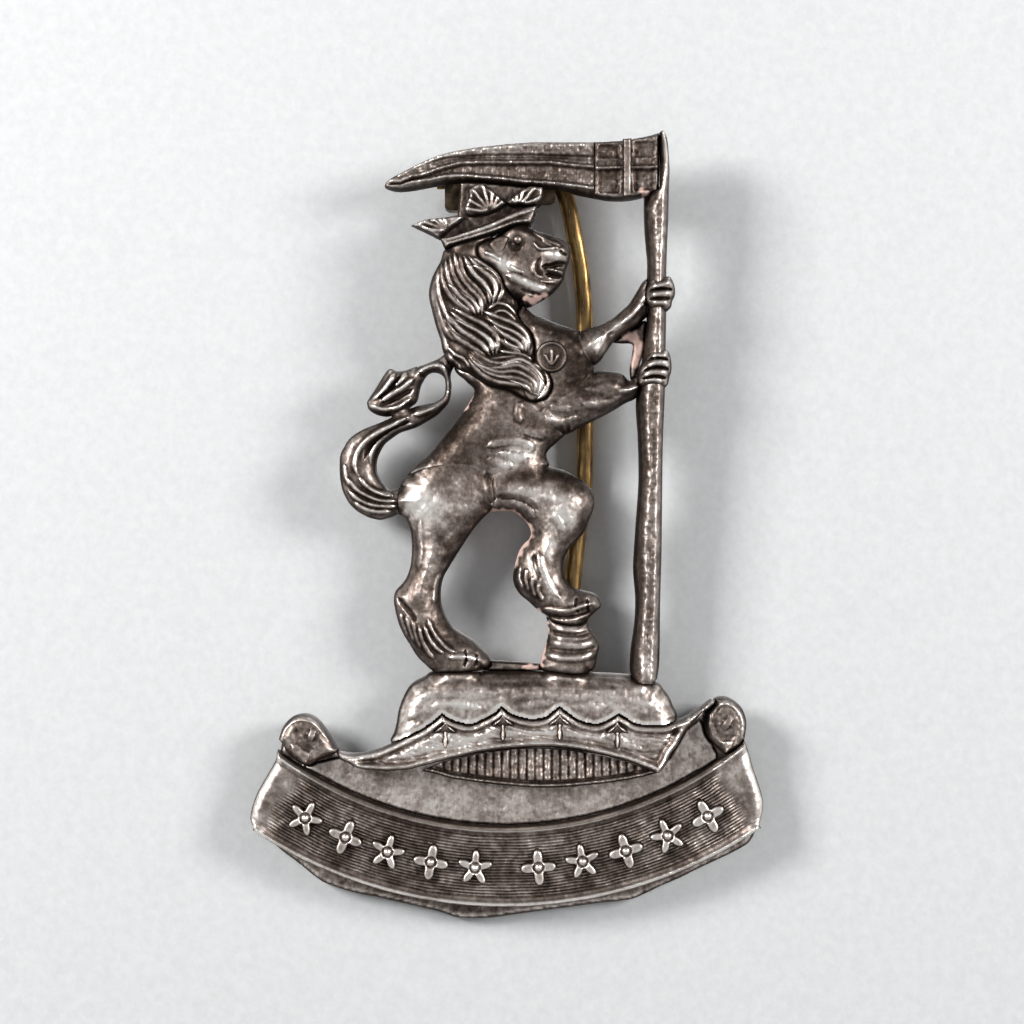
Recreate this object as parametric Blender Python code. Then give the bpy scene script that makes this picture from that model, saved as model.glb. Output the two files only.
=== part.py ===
"""Cap badge: a lion holding a scythe over a fur-trimmed cap, on a curved scroll.

The badge stands upright: +X is the wearer's left, +Z is up and the face looks along -Y. The origin is the
centre of the badge on its back plane. Every struck piece is a flat outline in the XZ plane, in millimetres,
given a front and a back depth; the fixing lugs and the split pin lie behind the back plane.
"""
import math

import bmesh
import bpy
from mathutils import Matrix, Vector

MM = 0.001
GAP = 0.05                # clearance between neighbouring struck pieces, mm
CURVE_STEP = 1.1          # longest straight step along a smooth outline, mm
WELD_DISTANCE = 0.000001  # welds a curve's caps to its walls, m
CUTTER_REACH = 8.0        # cutters run this far in front of and behind the back plane, mm

SCROLL_CENTRE = (-0.15, 5.55)  # common centre of the scroll's arcs, mm
FIELD_RADIUS = 27.9
RIBBON_INNER_RADIUS = 27.95
RIBBON_OUTER_RADIUS = 33.95
MOTIF_RADIUS = 31.0
MOTIF_FIRST_ANGLES = (-28.5, 4.6)
MOTIF_ANGLE_STEP = 6.1
MOTIFS_PER_SIDE = 5
MOTIF_REACH = 1.4
MOTIF_WAIST = 0.62

LUG_BAR_WIDTH = 1.55      # seen from the front
LUG_BAR_DEPTH = 0.9
LUG_LOOP_RADIUS = 1.67
LUG_BACK = 3.95           # how far the lugs stand behind the back plane
LUG_PLATE_DEPTH = 0.55
LEFT_LUG = (-3.9, 25.7)
RIGHT_LUG = (2.85, 26.3)

PIN_LEG_RADIUS = 0.3
PIN_LEG_OFFSET = 0.32     # half the distance between the two legs' centres
PIN_EYE_RADIUS = 1.35
PIN_DEPTH_AT_LUGS = 1.9
PIN_DEPTH_AT_EYE = 0.75
PIN_EYE = (4.75, -9.5)

SILVER = (0.20, 0.175, 0.165)
WORN_SILVER = (0.52, 0.48, 0.45)
DARK_SILVER = (0.085, 0.072, 0.068)
BRASS = (0.50, 0.33, 0.11)
BRONZE = (0.12, 0.085, 0.055)

C = 1  # marks an outline point as a sharp corner


def clear_scene():
    for old in list(bpy.data.objects):
        bpy.data.objects.remove(old, do_unlink=True)


def new_collection(name):
    made = bpy.data.collections.new(name)
    bpy.context.scene.collection.children.link(made)
    return made


def metal(name, color, roughness):
    made = bpy.data.materials.new(name)
    made.use_nodes = True
    shader = made.node_tree.nodes["Principled BSDF"]
    shader.inputs["Base Color"].default_value = (*color, 1.0)
    shader.inputs["Metallic"].default_value = 1.0
    shader.inputs["Roughness"].default_value = roughness
    return made


def catmull_rom(before, start, end, after, t):
    """A point at t along the smooth curve between start and end."""
    return tuple(
        0.5 * (2 * b + (c - a) * t + (2 * a - 5 * b + 4 * c - d) * t * t + (3 * b - a - 3 * c + d) * t ** 3)
        for a, b, c, d in zip(before, start, end, after)
    )


def smooth_outline(points, step=CURVE_STEP):
    """A closed outline through the points, sharp at those marked C."""
    made = []
    count = len(points)
    for i in range(count):
        start, end = points[i], points[(i + 1) % count]
        before = points[i - 1] if len(start) == 2 else start
        after = points[(i + 2) % count] if len(end) == 2 else end
        pieces = max(1, round(math.dist(start[:2], end[:2]) / step))
        for k in range(pieces):
            made.append(catmull_rom(before[:2], start[:2], end[:2], after[:2], k / pieces))
    return made


def arc(radius, first, last, steps, centre=SCROLL_CENTRE):
    """Points on a scroll arc, with angles in degrees from straight down, positive to +X."""
    made = []
    for i in range(steps + 1):
        angle = math.radians(first + (last - first) * i / steps)
        made.append((centre[0] + radius * math.sin(angle), centre[1] - radius * math.cos(angle)))
    return made


def circle(centre, radius, count=24):
    return [
        (centre[0] + radius * math.cos(2 * math.pi * i / count), centre[1] + radius * math.sin(2 * math.pi * i / count))
        for i in range(count)
    ]


def widened(points, distance):
    """The closed outline moved outwards by a distance."""
    area = sum(a[0] * b[1] - b[0] * a[1] for a, b in zip(points, points[1:] + points[:1]))
    side = 1.0 if area > 0 else -1.0
    made = []
    for i, here in enumerate(points):
        back = Vector(here) - Vector(points[i - 1])
        ahead = Vector(points[(i + 1) % len(points)]) - Vector(here)
        back_normal = Vector((back.y, -back.x)).normalized() * side
        ahead_normal = Vector((ahead.y, -ahead.x)).normalized() * side
        middle = (back_normal + ahead_normal).normalized()
        reach = distance / max(0.5, middle.dot(back_normal))
        made.append((here[0] + middle.x * reach, here[1] + middle.y * reach))
    return made


def flat_curve(name, outline, front, back, edge=0.0):
    """A 2D curve of the outline, standing in the XZ plane between the front and back depths."""
    curve = bpy.data.curves.new(name, "CURVE")
    curve.dimensions = "2D"
    curve.fill_mode = "BOTH"
    curve.extrude = ((front - back) / 2 - edge) * MM
    curve.bevel_depth = edge * MM
    curve.bevel_resolution = 0
    curve.offset = -edge * MM
    curve.resolution_u = 1
    spline = curve.splines.new("POLY")
    spline.points.add(len(outline) - 1)
    for point, (x, z) in zip(spline.points, outline):
        point.co = (x * MM, z * MM, 0.0, 1.0)
    spline.use_cyclic_u = True
    made = bpy.data.objects.new(name, curve)
    made.rotation_euler = (math.pi / 2, 0.0, 0.0)
    made.location = (0.0, -(front + back) / 2 * MM, 0.0)
    return made


def meshed(source, collection):
    """The curve object as a mesh object with welded caps, in the collection."""
    collection.objects.link(source)
    bpy.context.view_layer.update()
    evaluated = source.evaluated_get(bpy.context.evaluated_depsgraph_get())
    mesh = bpy.data.meshes.new_from_object(evaluated)
    work = bmesh.new()
    work.from_mesh(mesh)
    bmesh.ops.remove_doubles(work, verts=work.verts, dist=WELD_DISTANCE)
    bmesh.ops.recalc_face_normals(work, faces=work.faces)
    work.to_mesh(mesh)
    work.free()
    name = source.name
    source.name = name + "_curve"
    made = bpy.data.objects.new(name, mesh)
    made.matrix_world = source.matrix_world.copy()
    collection.objects.link(made)
    bpy.data.objects.remove(source, do_unlink=True)
    return made


def plate(name, outline, front, back=0.0, edge=0.0, color=SILVER, roughness=0.42):
    """One struck piece as a mesh plate."""
    made = meshed(flat_curve(name, outline, front, back, edge), PARTS)
    made.data.materials.append(metal(name, color, roughness))
    OUTLINES[name] = outline
    return made


def cutter_for(name, front=CUTTER_REACH, back=-CUTTER_REACH):
    """The named piece's outline, widened by the gap, as a hidden cutter."""
    label = f"cut_{name}_{front:g}_{back:g}"
    if label in CUTTERS.objects:
        return CUTTERS.objects[label]
    made = meshed(flat_curve(label, widened(OUTLINES[name], GAP), front, back), CUTTERS)
    made.hide_render = True
    made.display_type = "WIRE"
    return made


def cut(piece, names, front=CUTTER_REACH, back=-CUTTER_REACH):
    """Leaves the gap between a piece and the named pieces where their outlines overlap."""
    for name in names:
        trim = piece.modifiers.new("clear_" + name, "BOOLEAN")
        trim.operation = "DIFFERENCE"
        trim.solver = "EXACT"
        trim.object = cutter_for(name, front, back)


def make_scythe():
    plate("blade", smooth_outline([
        (-9.15, 25.35), (-8.8, 25.85), (-8.05, 26.25), (-7.2, 26.7), (-5.7, 27.4), (-4.3, 27.85), (-2.4, 28.2),
        (-0.15, 28.45), (1.95, 28.6), (4.35, 28.6), (6.45, 28.6, C), (6.45, 24.45, C), (5.05, 24.75), (4.0, 25.1),
        (2.85, 25.15), (1.2, 25.3), (-0.5, 25.45), (-2.0, 25.6), (-3.4, 25.6), (-4.65, 25.45), (-5.8, 25.25),
        (-7.2, 25.0), (-8.2, 24.95), (-8.85, 25.1)]), 2.0, edge=0.2)
    plate("blade_socket", smooth_outline([
        (6.55, 28.55, C), (7.75, 28.65), (8.85, 28.75), (10.0, 28.95), (10.9, 29.15), (11.3, 29.3, C),
        (11.35, 26.6), (11.3, 24.9, C), (10.75, 24.7), (10.0, 24.45), (8.85, 24.25), (7.7, 24.25),
        (7.0, 24.35), (6.55, 24.45, C)]), 2.0, edge=0.15)
    plate("blade_collar", [(8.6, 28.6), (9.25, 28.65), (9.25, 24.75), (8.6, 24.75)], 2.3, 2.05, color=WORN_SILVER)
    staff = plate("staff", smooth_outline([
        (10.25, 24.6, C), (11.4, 25.2, C), (11.4, 27.0), (11.35, 29.0), (11.5, 29.4), (11.8, 29.3), (12.0, 28.6),
        (12.1, 27.5), (12.15, 26.3), (12.1, 25.0), (12.05, 23.0), (11.95, 20.6), (11.9, 18.5), (11.9, 16.0),
        (11.85, 13.0), (11.8, 10.0), (11.65, 6.4), (11.6, 3.0), (11.55, -1.9), (11.45, -5.6), (11.4, -9.4),
        (11.3, -10.9), (11.1, -11.6), (10.4, -11.75), (9.5, -11.55), (9.2, -10.9), (9.25, -9.4), (9.4, -8.3),
        (9.55, -7.1), (9.6, -5.5), (9.45, -3.4), (9.5, -1.9), (9.7, 1.0), (9.85, 3.4), (9.8, 6.4), (9.65, 9.0),
        (9.9, 11.0), (10.2, 13.0), (10.4, 15.0), (10.45, 17.5), (10.5, 19.5), (10.4, 20.7), (10.3, 22.0),
        (10.25, 23.5)], 1.8), 3.0, edge=0.35)
    cut(staff, ["blade_socket"])


def make_crown():
    band_edge = [(2.25, 23.7, C), (2.1, 22.95), (1.75, 22.3, C), (0.6, 22.2), (-0.5, 21.8), (-1.65, 21.4),
                 (-2.8, 21.05), (-3.7, 20.8), (-4.6, 20.5, C)]
    plate("crown_band", smooth_outline(band_edge + [
        (-4.8, 20.9), (-4.95, 21.3, C), (-4.1, 21.45), (-2.8, 21.9), (-1.3, 22.45), (0.1, 23.1), (1.3, 23.55)]),
        3.0, 0.95, edge=0.15, color=WORN_SILVER)
    web = plate("crown_web", smooth_outline(band_edge + [
        (-4.95, 21.3, C), (-5.75, 21.7), (-6.9, 22.25, C), (-5.8, 22.7), (-4.6, 22.85), (-3.7, 22.95, C),
        (-3.5, 25.7, C), (2.9, 25.3, C), (2.55, 23.9, C)]), 0.9, color=DARK_SILVER)
    cut(web, ["blade"])
    left = plate("fleuron_left", smooth_outline([
        (-7.15, 22.3, C), (-6.5, 22.6), (-5.8, 22.8), (-4.65, 22.9), (-3.7, 23.05), (-3.1, 22.9, C),
        (-3.5, 22.4), (-4.1, 22.0), (-4.6, 21.55), (-5.15, 21.35), (-5.75, 21.65), (-6.5, 22.0)]),
        2.6, 0.95, edge=0.1)
    cut(left, ["crown_band"])
    middle = plate("fleuron_middle", smooth_outline([
        (-2.9, 24.4), (-2.85, 25.0), (-2.0, 25.45), (-1.3, 25.1), (-0.5, 24.45), (0.0, 23.9, C), (-0.5, 23.45),
        (-1.3, 23.1), (-2.2, 22.95), (-2.95, 23.0), (-3.2, 23.6)]), 2.6, 0.95, edge=0.1)
    cut(middle, ["crown_band", "blade", "fleuron_left"])
    right = plate("fleuron_right", smooth_outline([
        (-0.1, 23.95, C), (0.35, 24.4), (1.0, 24.9), (1.6, 25.2), (2.25, 25.4), (2.7, 25.1), (2.7, 24.4),
        (2.3, 23.8), (1.7, 23.65), (1.0, 23.7), (0.35, 23.7)]), 2.6, 0.95, edge=0.1)
    cut(right, ["crown_band", "blade", "fleuron_middle"])


def make_head():
    head = plate("head", smooth_outline([
        (-2.2, 20.6), (-1.4, 21.2), (-0.5, 21.7), (0.4, 22.05), (1.15, 22.3), (1.75, 22.1), (2.55, 21.8),
        (3.7, 21.45), (4.45, 21.05), (4.75, 20.55), (4.65, 19.7), (4.4, 19.05), (4.2, 18.3), (3.65, 17.55),
        (2.9, 16.95), (2.1, 16.5), (1.5, 16.25), (1.0, 16.55), (0.4, 16.9), (-0.2, 17.6), (-0.5, 18.4),
        (-1.1, 19.1), (-2.0, 19.75)]), 3.4, edge=0.35, color=WORN_SILVER)
    cut(head, ["crown_band", "crown_web"])
    plate("eye", circle((0.8, 21.1), 0.38, 16), 3.7, 3.45, color=WORN_SILVER)
    ear = plate("ear", smooth_outline([
        (-1.3, 20.8), (-0.6, 21.35), (0.1, 21.3), (-0.1, 20.6), (-0.4, 20.1), (-0.95, 20.2)]),
        3.75, 3.45, color=WORN_SILVER)
    cut(ear, ["crown_band"])


LOCKS = {
    "lock_nape": [(-3.0, 19.4), (-2.0, 19.3), (-1.1, 19.0), (-0.5, 18.2), (-0.45, 17.3), (-0.75, 16.6),
                  (-1.1, 16.1), (-1.4, 16.9), (-2.0, 17.6), (-2.8, 18.4), (-3.15, 19.0)],
    "lock_collar": [(-4.4, 18.0), (-3.6, 17.7), (-3.0, 17.2), (-2.2, 16.7), (-1.8, 16.0), (-2.0, 15.5),
                    (-2.6, 15.5), (-3.5, 16.1), (-4.1, 16.9), (-4.5, 17.6)],
    "lock_centre": [(-4.6, 16.0), (-3.7, 15.4), (-2.4, 14.8), (-1.3, 14.2), (-0.6, 13.5), (-0.5, 13.1),
                    (-1.1, 12.7), (-1.6, 12.6), (-2.2, 13.1), (-3.1, 13.6), (-4.1, 14.2), (-4.6, 15.0)],
    "lock_chest": [(-1.6, 15.6), (-0.5, 15.0), (0.6, 14.6), (1.5, 14.0), (1.7, 13.4), (1.6, 12.75),
                   (1.0, 12.8), (-0.1, 13.2), (-0.45, 13.9), (-1.1, 14.6)],
    "lock_shoulder": [(-2.8, 12.8), (-2.0, 12.1), (-0.9, 11.9), (0.6, 12.3), (1.7, 11.9), (2.5, 11.2),
                      (3.0, 10.4), (2.8, 9.7), (1.95, 9.2), (1.4, 9.45), (1.0, 10.1), (-0.1, 10.6),
                      (-1.3, 10.9), (-2.2, 11.5), (-2.8, 12.2)],
}


def make_mane():
    mane = plate("mane", smooth_outline([
        (-4.7, 20.45), (-4.95, 19.7), (-5.3, 19.05), (-5.6, 18.4), (-5.8, 17.6), (-5.8, 16.9), (-5.6, 16.0),
        (-5.4, 15.2), (-5.2, 14.5), (-4.95, 13.8), (-4.8, 13.0), (-4.55, 12.5), (-4.1, 11.9), (-3.5, 11.5),
        (-2.8, 11.3), (-2.0, 10.8), (-1.1, 10.3), (0.1, 10.0), (1.1, 9.45), (1.9, 9.15), (2.85, 9.45),
        (3.3, 10.3), (3.1, 11.1), (2.5, 11.85), (2.1, 12.6), (2.0, 13.5), (1.7, 14.3), (1.1, 15.0),
        (0.7, 15.75), (0.95, 16.5), (0.7, 17.3), (0.1, 18.2), (-0.4, 19.2), (-1.3, 20.4), (-1.9, 21.2),
        (-3.0, 21.3), (-4.1, 21.0)]), 3.3, edge=0.3)
    cut(mane, ["head", "crown_band", "crown_web"])
    for name, points in LOCKS.items():
        plate(name, smooth_outline(points), 3.8, 3.45, color=WORN_SILVER)
    cut(PARTS.objects["lock_chest"], ["lock_centre"])


def make_body():
    torso = plate("torso", smooth_outline([
        (-3.9, 11.9), (-3.1, 10.8), (-2.55, 10.3), (-2.45, 9.85), (-2.8, 9.15), (-3.3, 8.4), (-3.9, 7.6),
        (-4.65, 6.7), (-5.3, 5.85), (-5.9, 5.2), (-6.7, 4.5), (-7.35, 3.8), (-7.9, 3.1), (-7.95, 2.5, C),
        (-4.3, 1.5), (-0.5, 1.9), (1.0, 3.0), (2.5, 4.1), (3.15, 4.45), (2.95, 5.2), (3.15, 5.65), (3.7, 6.15),
        (4.4, 6.8), (5.1, 7.5), (5.9, 9.4), (6.4, 10.9), (6.5, 11.8), (6.1, 12.4), (5.9, 13.5), (5.5, 14.4),
        (4.9, 14.65), (4.0, 14.95), (2.85, 15.4), (1.95, 15.8), (1.5, 16.15), (1.0, 16.45), (0.4, 16.9),
        (-0.5, 16.1), (-2.0, 13.9)]), 3.2, edge=0.35)
    cut(torso, ["head", "mane", "foreleg_upper", "foreleg_lower", "hind_leg_standing", "hind_leg_raised"])
    plate("roundel", circle((3.3, 12.45), 1.2, 20), 3.6, 3.35)
    cut(PARTS.objects["lock_shoulder"], ["roundel"])


def make_forelegs():
    upper = plate("foreleg_upper", smooth_outline([
        (5.35, 14.3), (6.2, 14.7), (7.0, 15.0), (7.9, 15.45), (8.55, 16.0), (9.1, 16.5), (9.55, 17.2),
        (10.0, 17.95), (10.3, 18.3), (11.0, 18.7, C), (11.0, 15.7, C), (10.3, 15.4), (9.8, 14.9),
        (9.15, 14.55), (8.5, 14.1), (7.95, 13.65), (7.4, 12.9), (7.0, 12.3), (6.5, 11.95), (6.1, 12.2, C),
        (5.6, 13.1)]), 2.7, edge=0.3)
    cut(upper, ["staff", "paw_upper"])
    lower = plate("foreleg_lower", smooth_outline([
        (4.4, 6.8), (5.5, 7.3), (6.5, 7.8), (7.2, 8.15), (7.95, 8.55), (8.85, 9.1), (9.6, 9.45), (10.2, 10.05),
        (10.7, 10.3, C), (10.7, 12.2, C), (10.3, 11.85), (9.75, 11.25), (9.15, 10.8), (8.6, 11.3), (7.7, 11.5),
        (6.8, 11.5), (6.1, 11.2), (5.1, 10.05), (4.0, 9.4), (3.3, 8.8), (2.8, 8.3), (2.9, 7.8), (3.5, 7.2)]),
        2.8, edge=0.3)
    cut(lower, ["staff", "paw_lower"])
    web = plate("paw_web", smooth_outline([
        (7.95, 13.65, C), (8.5, 14.3), (9.15, 14.7), (9.8, 15.1), (10.35, 15.3, C), (10.6, 14.6), (10.5, 13.5),
        (10.1, 12.5), (9.8, 11.6), (9.5, 10.8, C), (9.25, 10.95), (9.2, 11.8), (9.4, 13.0), (9.35, 13.55),
        (8.5, 13.6)]), 1.0, color=WORN_SILVER)
    cut(web, ["staff", "foreleg_upper", "foreleg_lower", "paw_lower"])


def outline_paws():
    """The paws wrap the staff, so their outlines are needed before the legs are cut to them."""
    upper = plate("paw_upper", smooth_outline([
        (10.6, 18.15), (11.1, 18.3), (11.65, 18.45), (12.1, 18.5), (12.35, 18.15), (12.5, 17.65), (12.5, 17.1),
        (12.3, 16.65), (12.2, 16.2), (11.8, 15.9), (11.2, 15.9), (10.6, 16.05), (10.2, 16.9)], 0.8), 3.7, 0.4)
    lower = plate("paw_lower", smooth_outline([
        (10.7, 13.0), (11.4, 13.05), (11.95, 13.0), (12.2, 12.4), (12.25, 11.55), (12.1, 11.0), (11.95, 10.4),
        (11.5, 10.2), (10.75, 10.15), (10.0, 10.25), (9.65, 10.65), (9.75, 11.55), (10.2, 12.3)], 0.8), 3.7, 0.4)
    for paw in (upper, lower):
        cut(paw, ["staff"], front=3.0 + GAP)


def make_hind_legs():
    plate("hind_leg_standing", smooth_outline([
        (-7.9, 3.1), (-7.3, 3.75), (-6.15, 4.2), (-4.65, 4.5), (-3.15, 4.5), (-2.0, 4.2), (-1.35, 3.5),
        (-1.05, 2.6), (-1.0, 1.75), (-1.2, 1.1), (-1.9, 0.4), (-2.6, -0.45), (-3.2, -1.35), (-3.75, -2.2),
        (-4.3, -3.1), (-4.7, -3.8), (-4.9, -4.5), (-4.95, -5.2), (-4.9, -5.9), (-4.6, -6.75), (-4.05, -7.6),
        (-3.4, -8.05), (-2.6, -8.55), (-2.0, -9.1), (-1.5, -9.6), (-1.25, -10.1), (-1.5, -10.65), (-2.8, -10.9),
        (-4.3, -10.95), (-5.4, -10.95), (-6.15, -10.35), (-6.7, -9.8), (-7.2, -9.0), (-7.7, -8.2), (-8.1, -7.3),
        (-8.35, -6.3), (-8.45, -5.5), (-8.3, -4.9), (-7.85, -4.4), (-7.5, -3.9), (-7.2, -3.0), (-7.1, -1.9),
        (-7.15, -0.75), (-7.35, 0.1), (-7.65, 0.6), (-7.95, 0.85), (-8.05, 1.9)]), 3.1, edge=0.35,
        color=WORN_SILVER)
    raised = plate("hind_leg_raised", smooth_outline([
        (-1.0, 3.5), (-0.15, 3.9), (1.0, 4.35), (2.1, 4.5), (3.25, 4.35), (4.35, 4.05), (5.35, 3.5), (6.1, 2.9),
        (6.45, 2.3), (6.55, 1.65), (6.4, 1.0), (6.1, 0.25), (5.85, -0.4), (5.4, -1.0), (4.9, -1.5),
        (4.45, -2.1), (4.2, -2.8), (4.2, -3.5), (4.4, -4.1), (4.9, -4.6), (5.5, -4.85), (6.2, -5.0),
        (6.75, -5.25), (7.0, -5.7), (7.0, -6.1), (6.7, -6.4), (6.2, -6.85), (5.9, -7.2), (5.1, -7.4),
        (4.0, -7.3), (3.3, -7.1), (2.85, -6.7), (2.25, -6.3), (1.6, -5.7), (1.0, -5.2), (0.6, -4.6),
        (0.45, -3.9), (0.6, -3.0), (0.85, -2.1), (1.2, -1.5), (1.65, -1.05), (1.8, -0.6), (1.6, 0.0),
        (1.05, 0.6), (0.4, 1.0), (-0.5, 1.05), (-1.3, 1.05), (-1.05, 1.75), (-1.1, 2.6)]), 2.9, edge=0.35,
        color=WORN_SILVER)
    cut(raised, ["hind_leg_standing"])
    stump = plate("stump", smooth_outline([
        (3.0, -6.8), (3.1, -7.9), (3.0, -8.6), (2.7, -9.5), (2.55, -10.2), (2.55, -10.8), (3.6, -11.0),
        (5.1, -11.15), (6.2, -10.95), (6.6, -10.5), (6.75, -9.75), (6.9, -9.1), (6.75, -8.6), (6.4, -8.0),
        (6.1, -7.5), (5.9, -7.0), (5.1, -7.1), (4.0, -7.0)]), 3.0, edge=0.3, color=WORN_SILVER)
    cut(stump, ["hind_leg_raised"])
    bar = plate("ground_bar", [(-1.7, -10.15), (2.8, -10.4), (2.8, -10.85), (-1.7, -10.85)], 1.2)
    cut(bar, ["hind_leg_standing", "stump"])


def make_tail():
    tail = plate("tail", smooth_outline([
        (-7.5, 0.5, C), (-8.1, 0.8), (-8.6, 0.6), (-9.3, 0.4), (-9.7, 0.4), (-10.4, 0.6), (-11.2, 1.05),
        (-11.8, 1.65), (-12.25, 2.5), (-12.45, 3.4), (-12.5, 4.3), (-12.45, 5.2), (-12.15, 5.85), (-11.8, 6.4),
        (-11.2, 6.9), (-10.4, 7.3), (-9.5, 7.65), (-8.8, 7.95), (-8.35, 8.25), (-7.8, 8.5, C), (-7.25, 8.7),
        (-6.5, 8.95), (-5.8, 9.1), (-5.15, 9.3), (-4.75, 9.6), (-4.6, 10.1), (-4.65, 10.9), (-5.0, 11.3),
        (-5.5, 11.4), (-5.9, 11.25), (-6.2, 10.9, C), (-6.8, 11.75, C), (-6.15, 12.0), (-5.5, 12.25),
        (-5.0, 12.5), (-4.5, 12.9, C), (-3.9, 12.0, C), (-4.2, 11.3), (-4.15, 10.5), (-4.2, 9.75), (-4.35, 9.2),
        (-4.65, 8.8), (-5.2, 8.25), (-5.9, 7.8), (-6.7, 7.35), (-7.4, 7.1), (-8.0, 6.9), (-8.6, 6.5),
        (-9.1, 6.1), (-9.45, 5.55), (-9.7, 4.9), (-9.75, 4.1), (-9.5, 3.5), (-9.2, 3.1), (-8.9, 2.7),
        (-8.5, 2.65), (-8.0, 2.8), (-7.5, 3.2, C)]), 2.4, edge=0.3)
    cut(tail, ["hind_leg_standing", "torso", "mane"])
    tuft = plate("tail_tuft", smooth_outline([
        (-6.7, 9.3), (-7.1, 8.9), (-7.65, 8.55), (-8.3, 8.25), (-9.05, 8.1), (-9.75, 8.25), (-10.3, 8.6),
        (-10.45, 9.1), (-10.3, 9.45), (-9.9, 10.05), (-9.5, 10.7), (-9.15, 11.25), (-8.8, 11.65),
        (-8.5, 11.65), (-8.2, 11.5), (-7.6, 11.55), (-6.75, 11.85, C), (-6.15, 10.95, C), (-6.45, 10.35)]),
        2.7, edge=0.3)
    cut(tuft, ["tail"])


def make_cap():
    plate("cap_brim", smooth_outline([
        (-12.5, -16.8), (-11.8, -16.9), (-10.8, -16.9), (-9.5, -16.6), (-8.25, -16.05), (-7.3, -15.6),
        (-6.15, -15.0), (-5.3, -14.4), (-4.8, -13.95, C), (-4.3, -14.3), (-3.5, -14.6), (-2.6, -14.7),
        (-1.65, -14.3), (-0.9, -13.9), (-0.4, -13.4, C), (0.2, -13.9), (1.0, -14.2), (1.9, -14.35),
        (2.85, -14.2), (3.4, -13.8), (3.9, -13.4, C), (4.4, -13.8), (5.1, -14.3), (5.85, -14.6), (6.75, -14.7),
        (7.5, -14.4), (8.25, -13.95, C), (8.85, -14.3), (9.6, -14.7), (10.7, -14.8), (11.85, -14.75),
        (13.0, -14.3), (13.9, -13.8), (14.6, -13.3), (15.15, -12.9), (15.45, -13.05), (15.1, -13.5),
        (14.5, -13.95), (13.7, -14.8), (13.1, -15.5), (12.7, -16.3), (12.2, -17.0), (11.8, -17.8),
        (11.25, -18.4), (10.7, -18.2), (10.0, -17.9), (9.0, -17.55), (7.7, -17.2), (6.4, -16.9), (5.1, -16.65),
        (3.8, -16.5), (2.5, -16.45), (1.3, -16.5), (-0.5, -16.65), (-2.2, -16.9), (-3.5, -17.2), (-4.8, -17.5),
        (-6.15, -17.85), (-7.35, -18.15), (-8.8, -18.25), (-10.0, -18.2), (-10.9, -18.1), (-11.6, -17.8),
        (-12.15, -17.4), (-12.5, -17.1)]), 3.7, 1.55, edge=0.2, color=WORN_SILVER)
    cushion = plate("cap_cushion", smooth_outline([
        (-8.7, -16.15), (-8.4, -15.4), (-8.25, -14.8), (-8.1, -13.9), (-7.85, -13.1), (-7.4, -12.2),
        (-6.9, -11.7), (-6.15, -11.3), (-5.6, -10.95), (-4.6, -10.9), (-0.5, -10.9), (3.2, -10.95),
        (7.0, -11.05), (9.2, -11.2), (11.15, -11.7), (11.65, -12.2), (12.1, -12.8), (12.4, -13.5),
        (12.7, -14.2), (12.4, -15.0), (11.5, -15.7), (7.0, -16.0), (-0.5, -16.1), (-5.0, -16.3), (-8.0, -16.4)]),
        3.2, edge=0.3)
    cut(cushion, ["staff", "hind_leg_standing", "stump", "ground_bar"])
    cut(cushion, ["cap_brim"], back=1.5)
    for number, (x, z) in enumerate(((-4.55, -14.35), (-0.3, -13.85), (3.9, -13.8), (8.15, -14.4)), start=1):
        half = [(0.0, 0.0), (0.22, -0.35), (0.62, -0.6), (0.85, -1.0), (0.4, -0.95), (0.2, -1.15), (0.3, -1.6),
                (0.17, -2.0)]
        right = [(x + dx, z + dz) for dx, dz in half]
        left = [(x - dx, z + dz) for dx, dz in reversed(half[1:])]
        plate(f"ermine_spot_{number}", right + [(x, z - 2.15)] + left, 3.95, 3.75)
    plate("cap_lens", smooth_outline([
        (-6.3, -18.25, C), (-4.7, -17.6), (-3.4, -17.3), (-2.0, -17.0), (-0.4, -16.75), (1.3, -16.6),
        (3.8, -16.65), (6.4, -17.0), (9.0, -17.65), (11.1, -18.4, C), (9.8, -18.75), (7.0, -19.2), (3.0, -19.5),
        (-0.4, -19.3), (-3.9, -18.85), (-5.0, -18.55)]), 2.6, 1.55, edge=0.1)
    cut(PARTS.objects["cap_lens"], ["cap_brim"])


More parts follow.
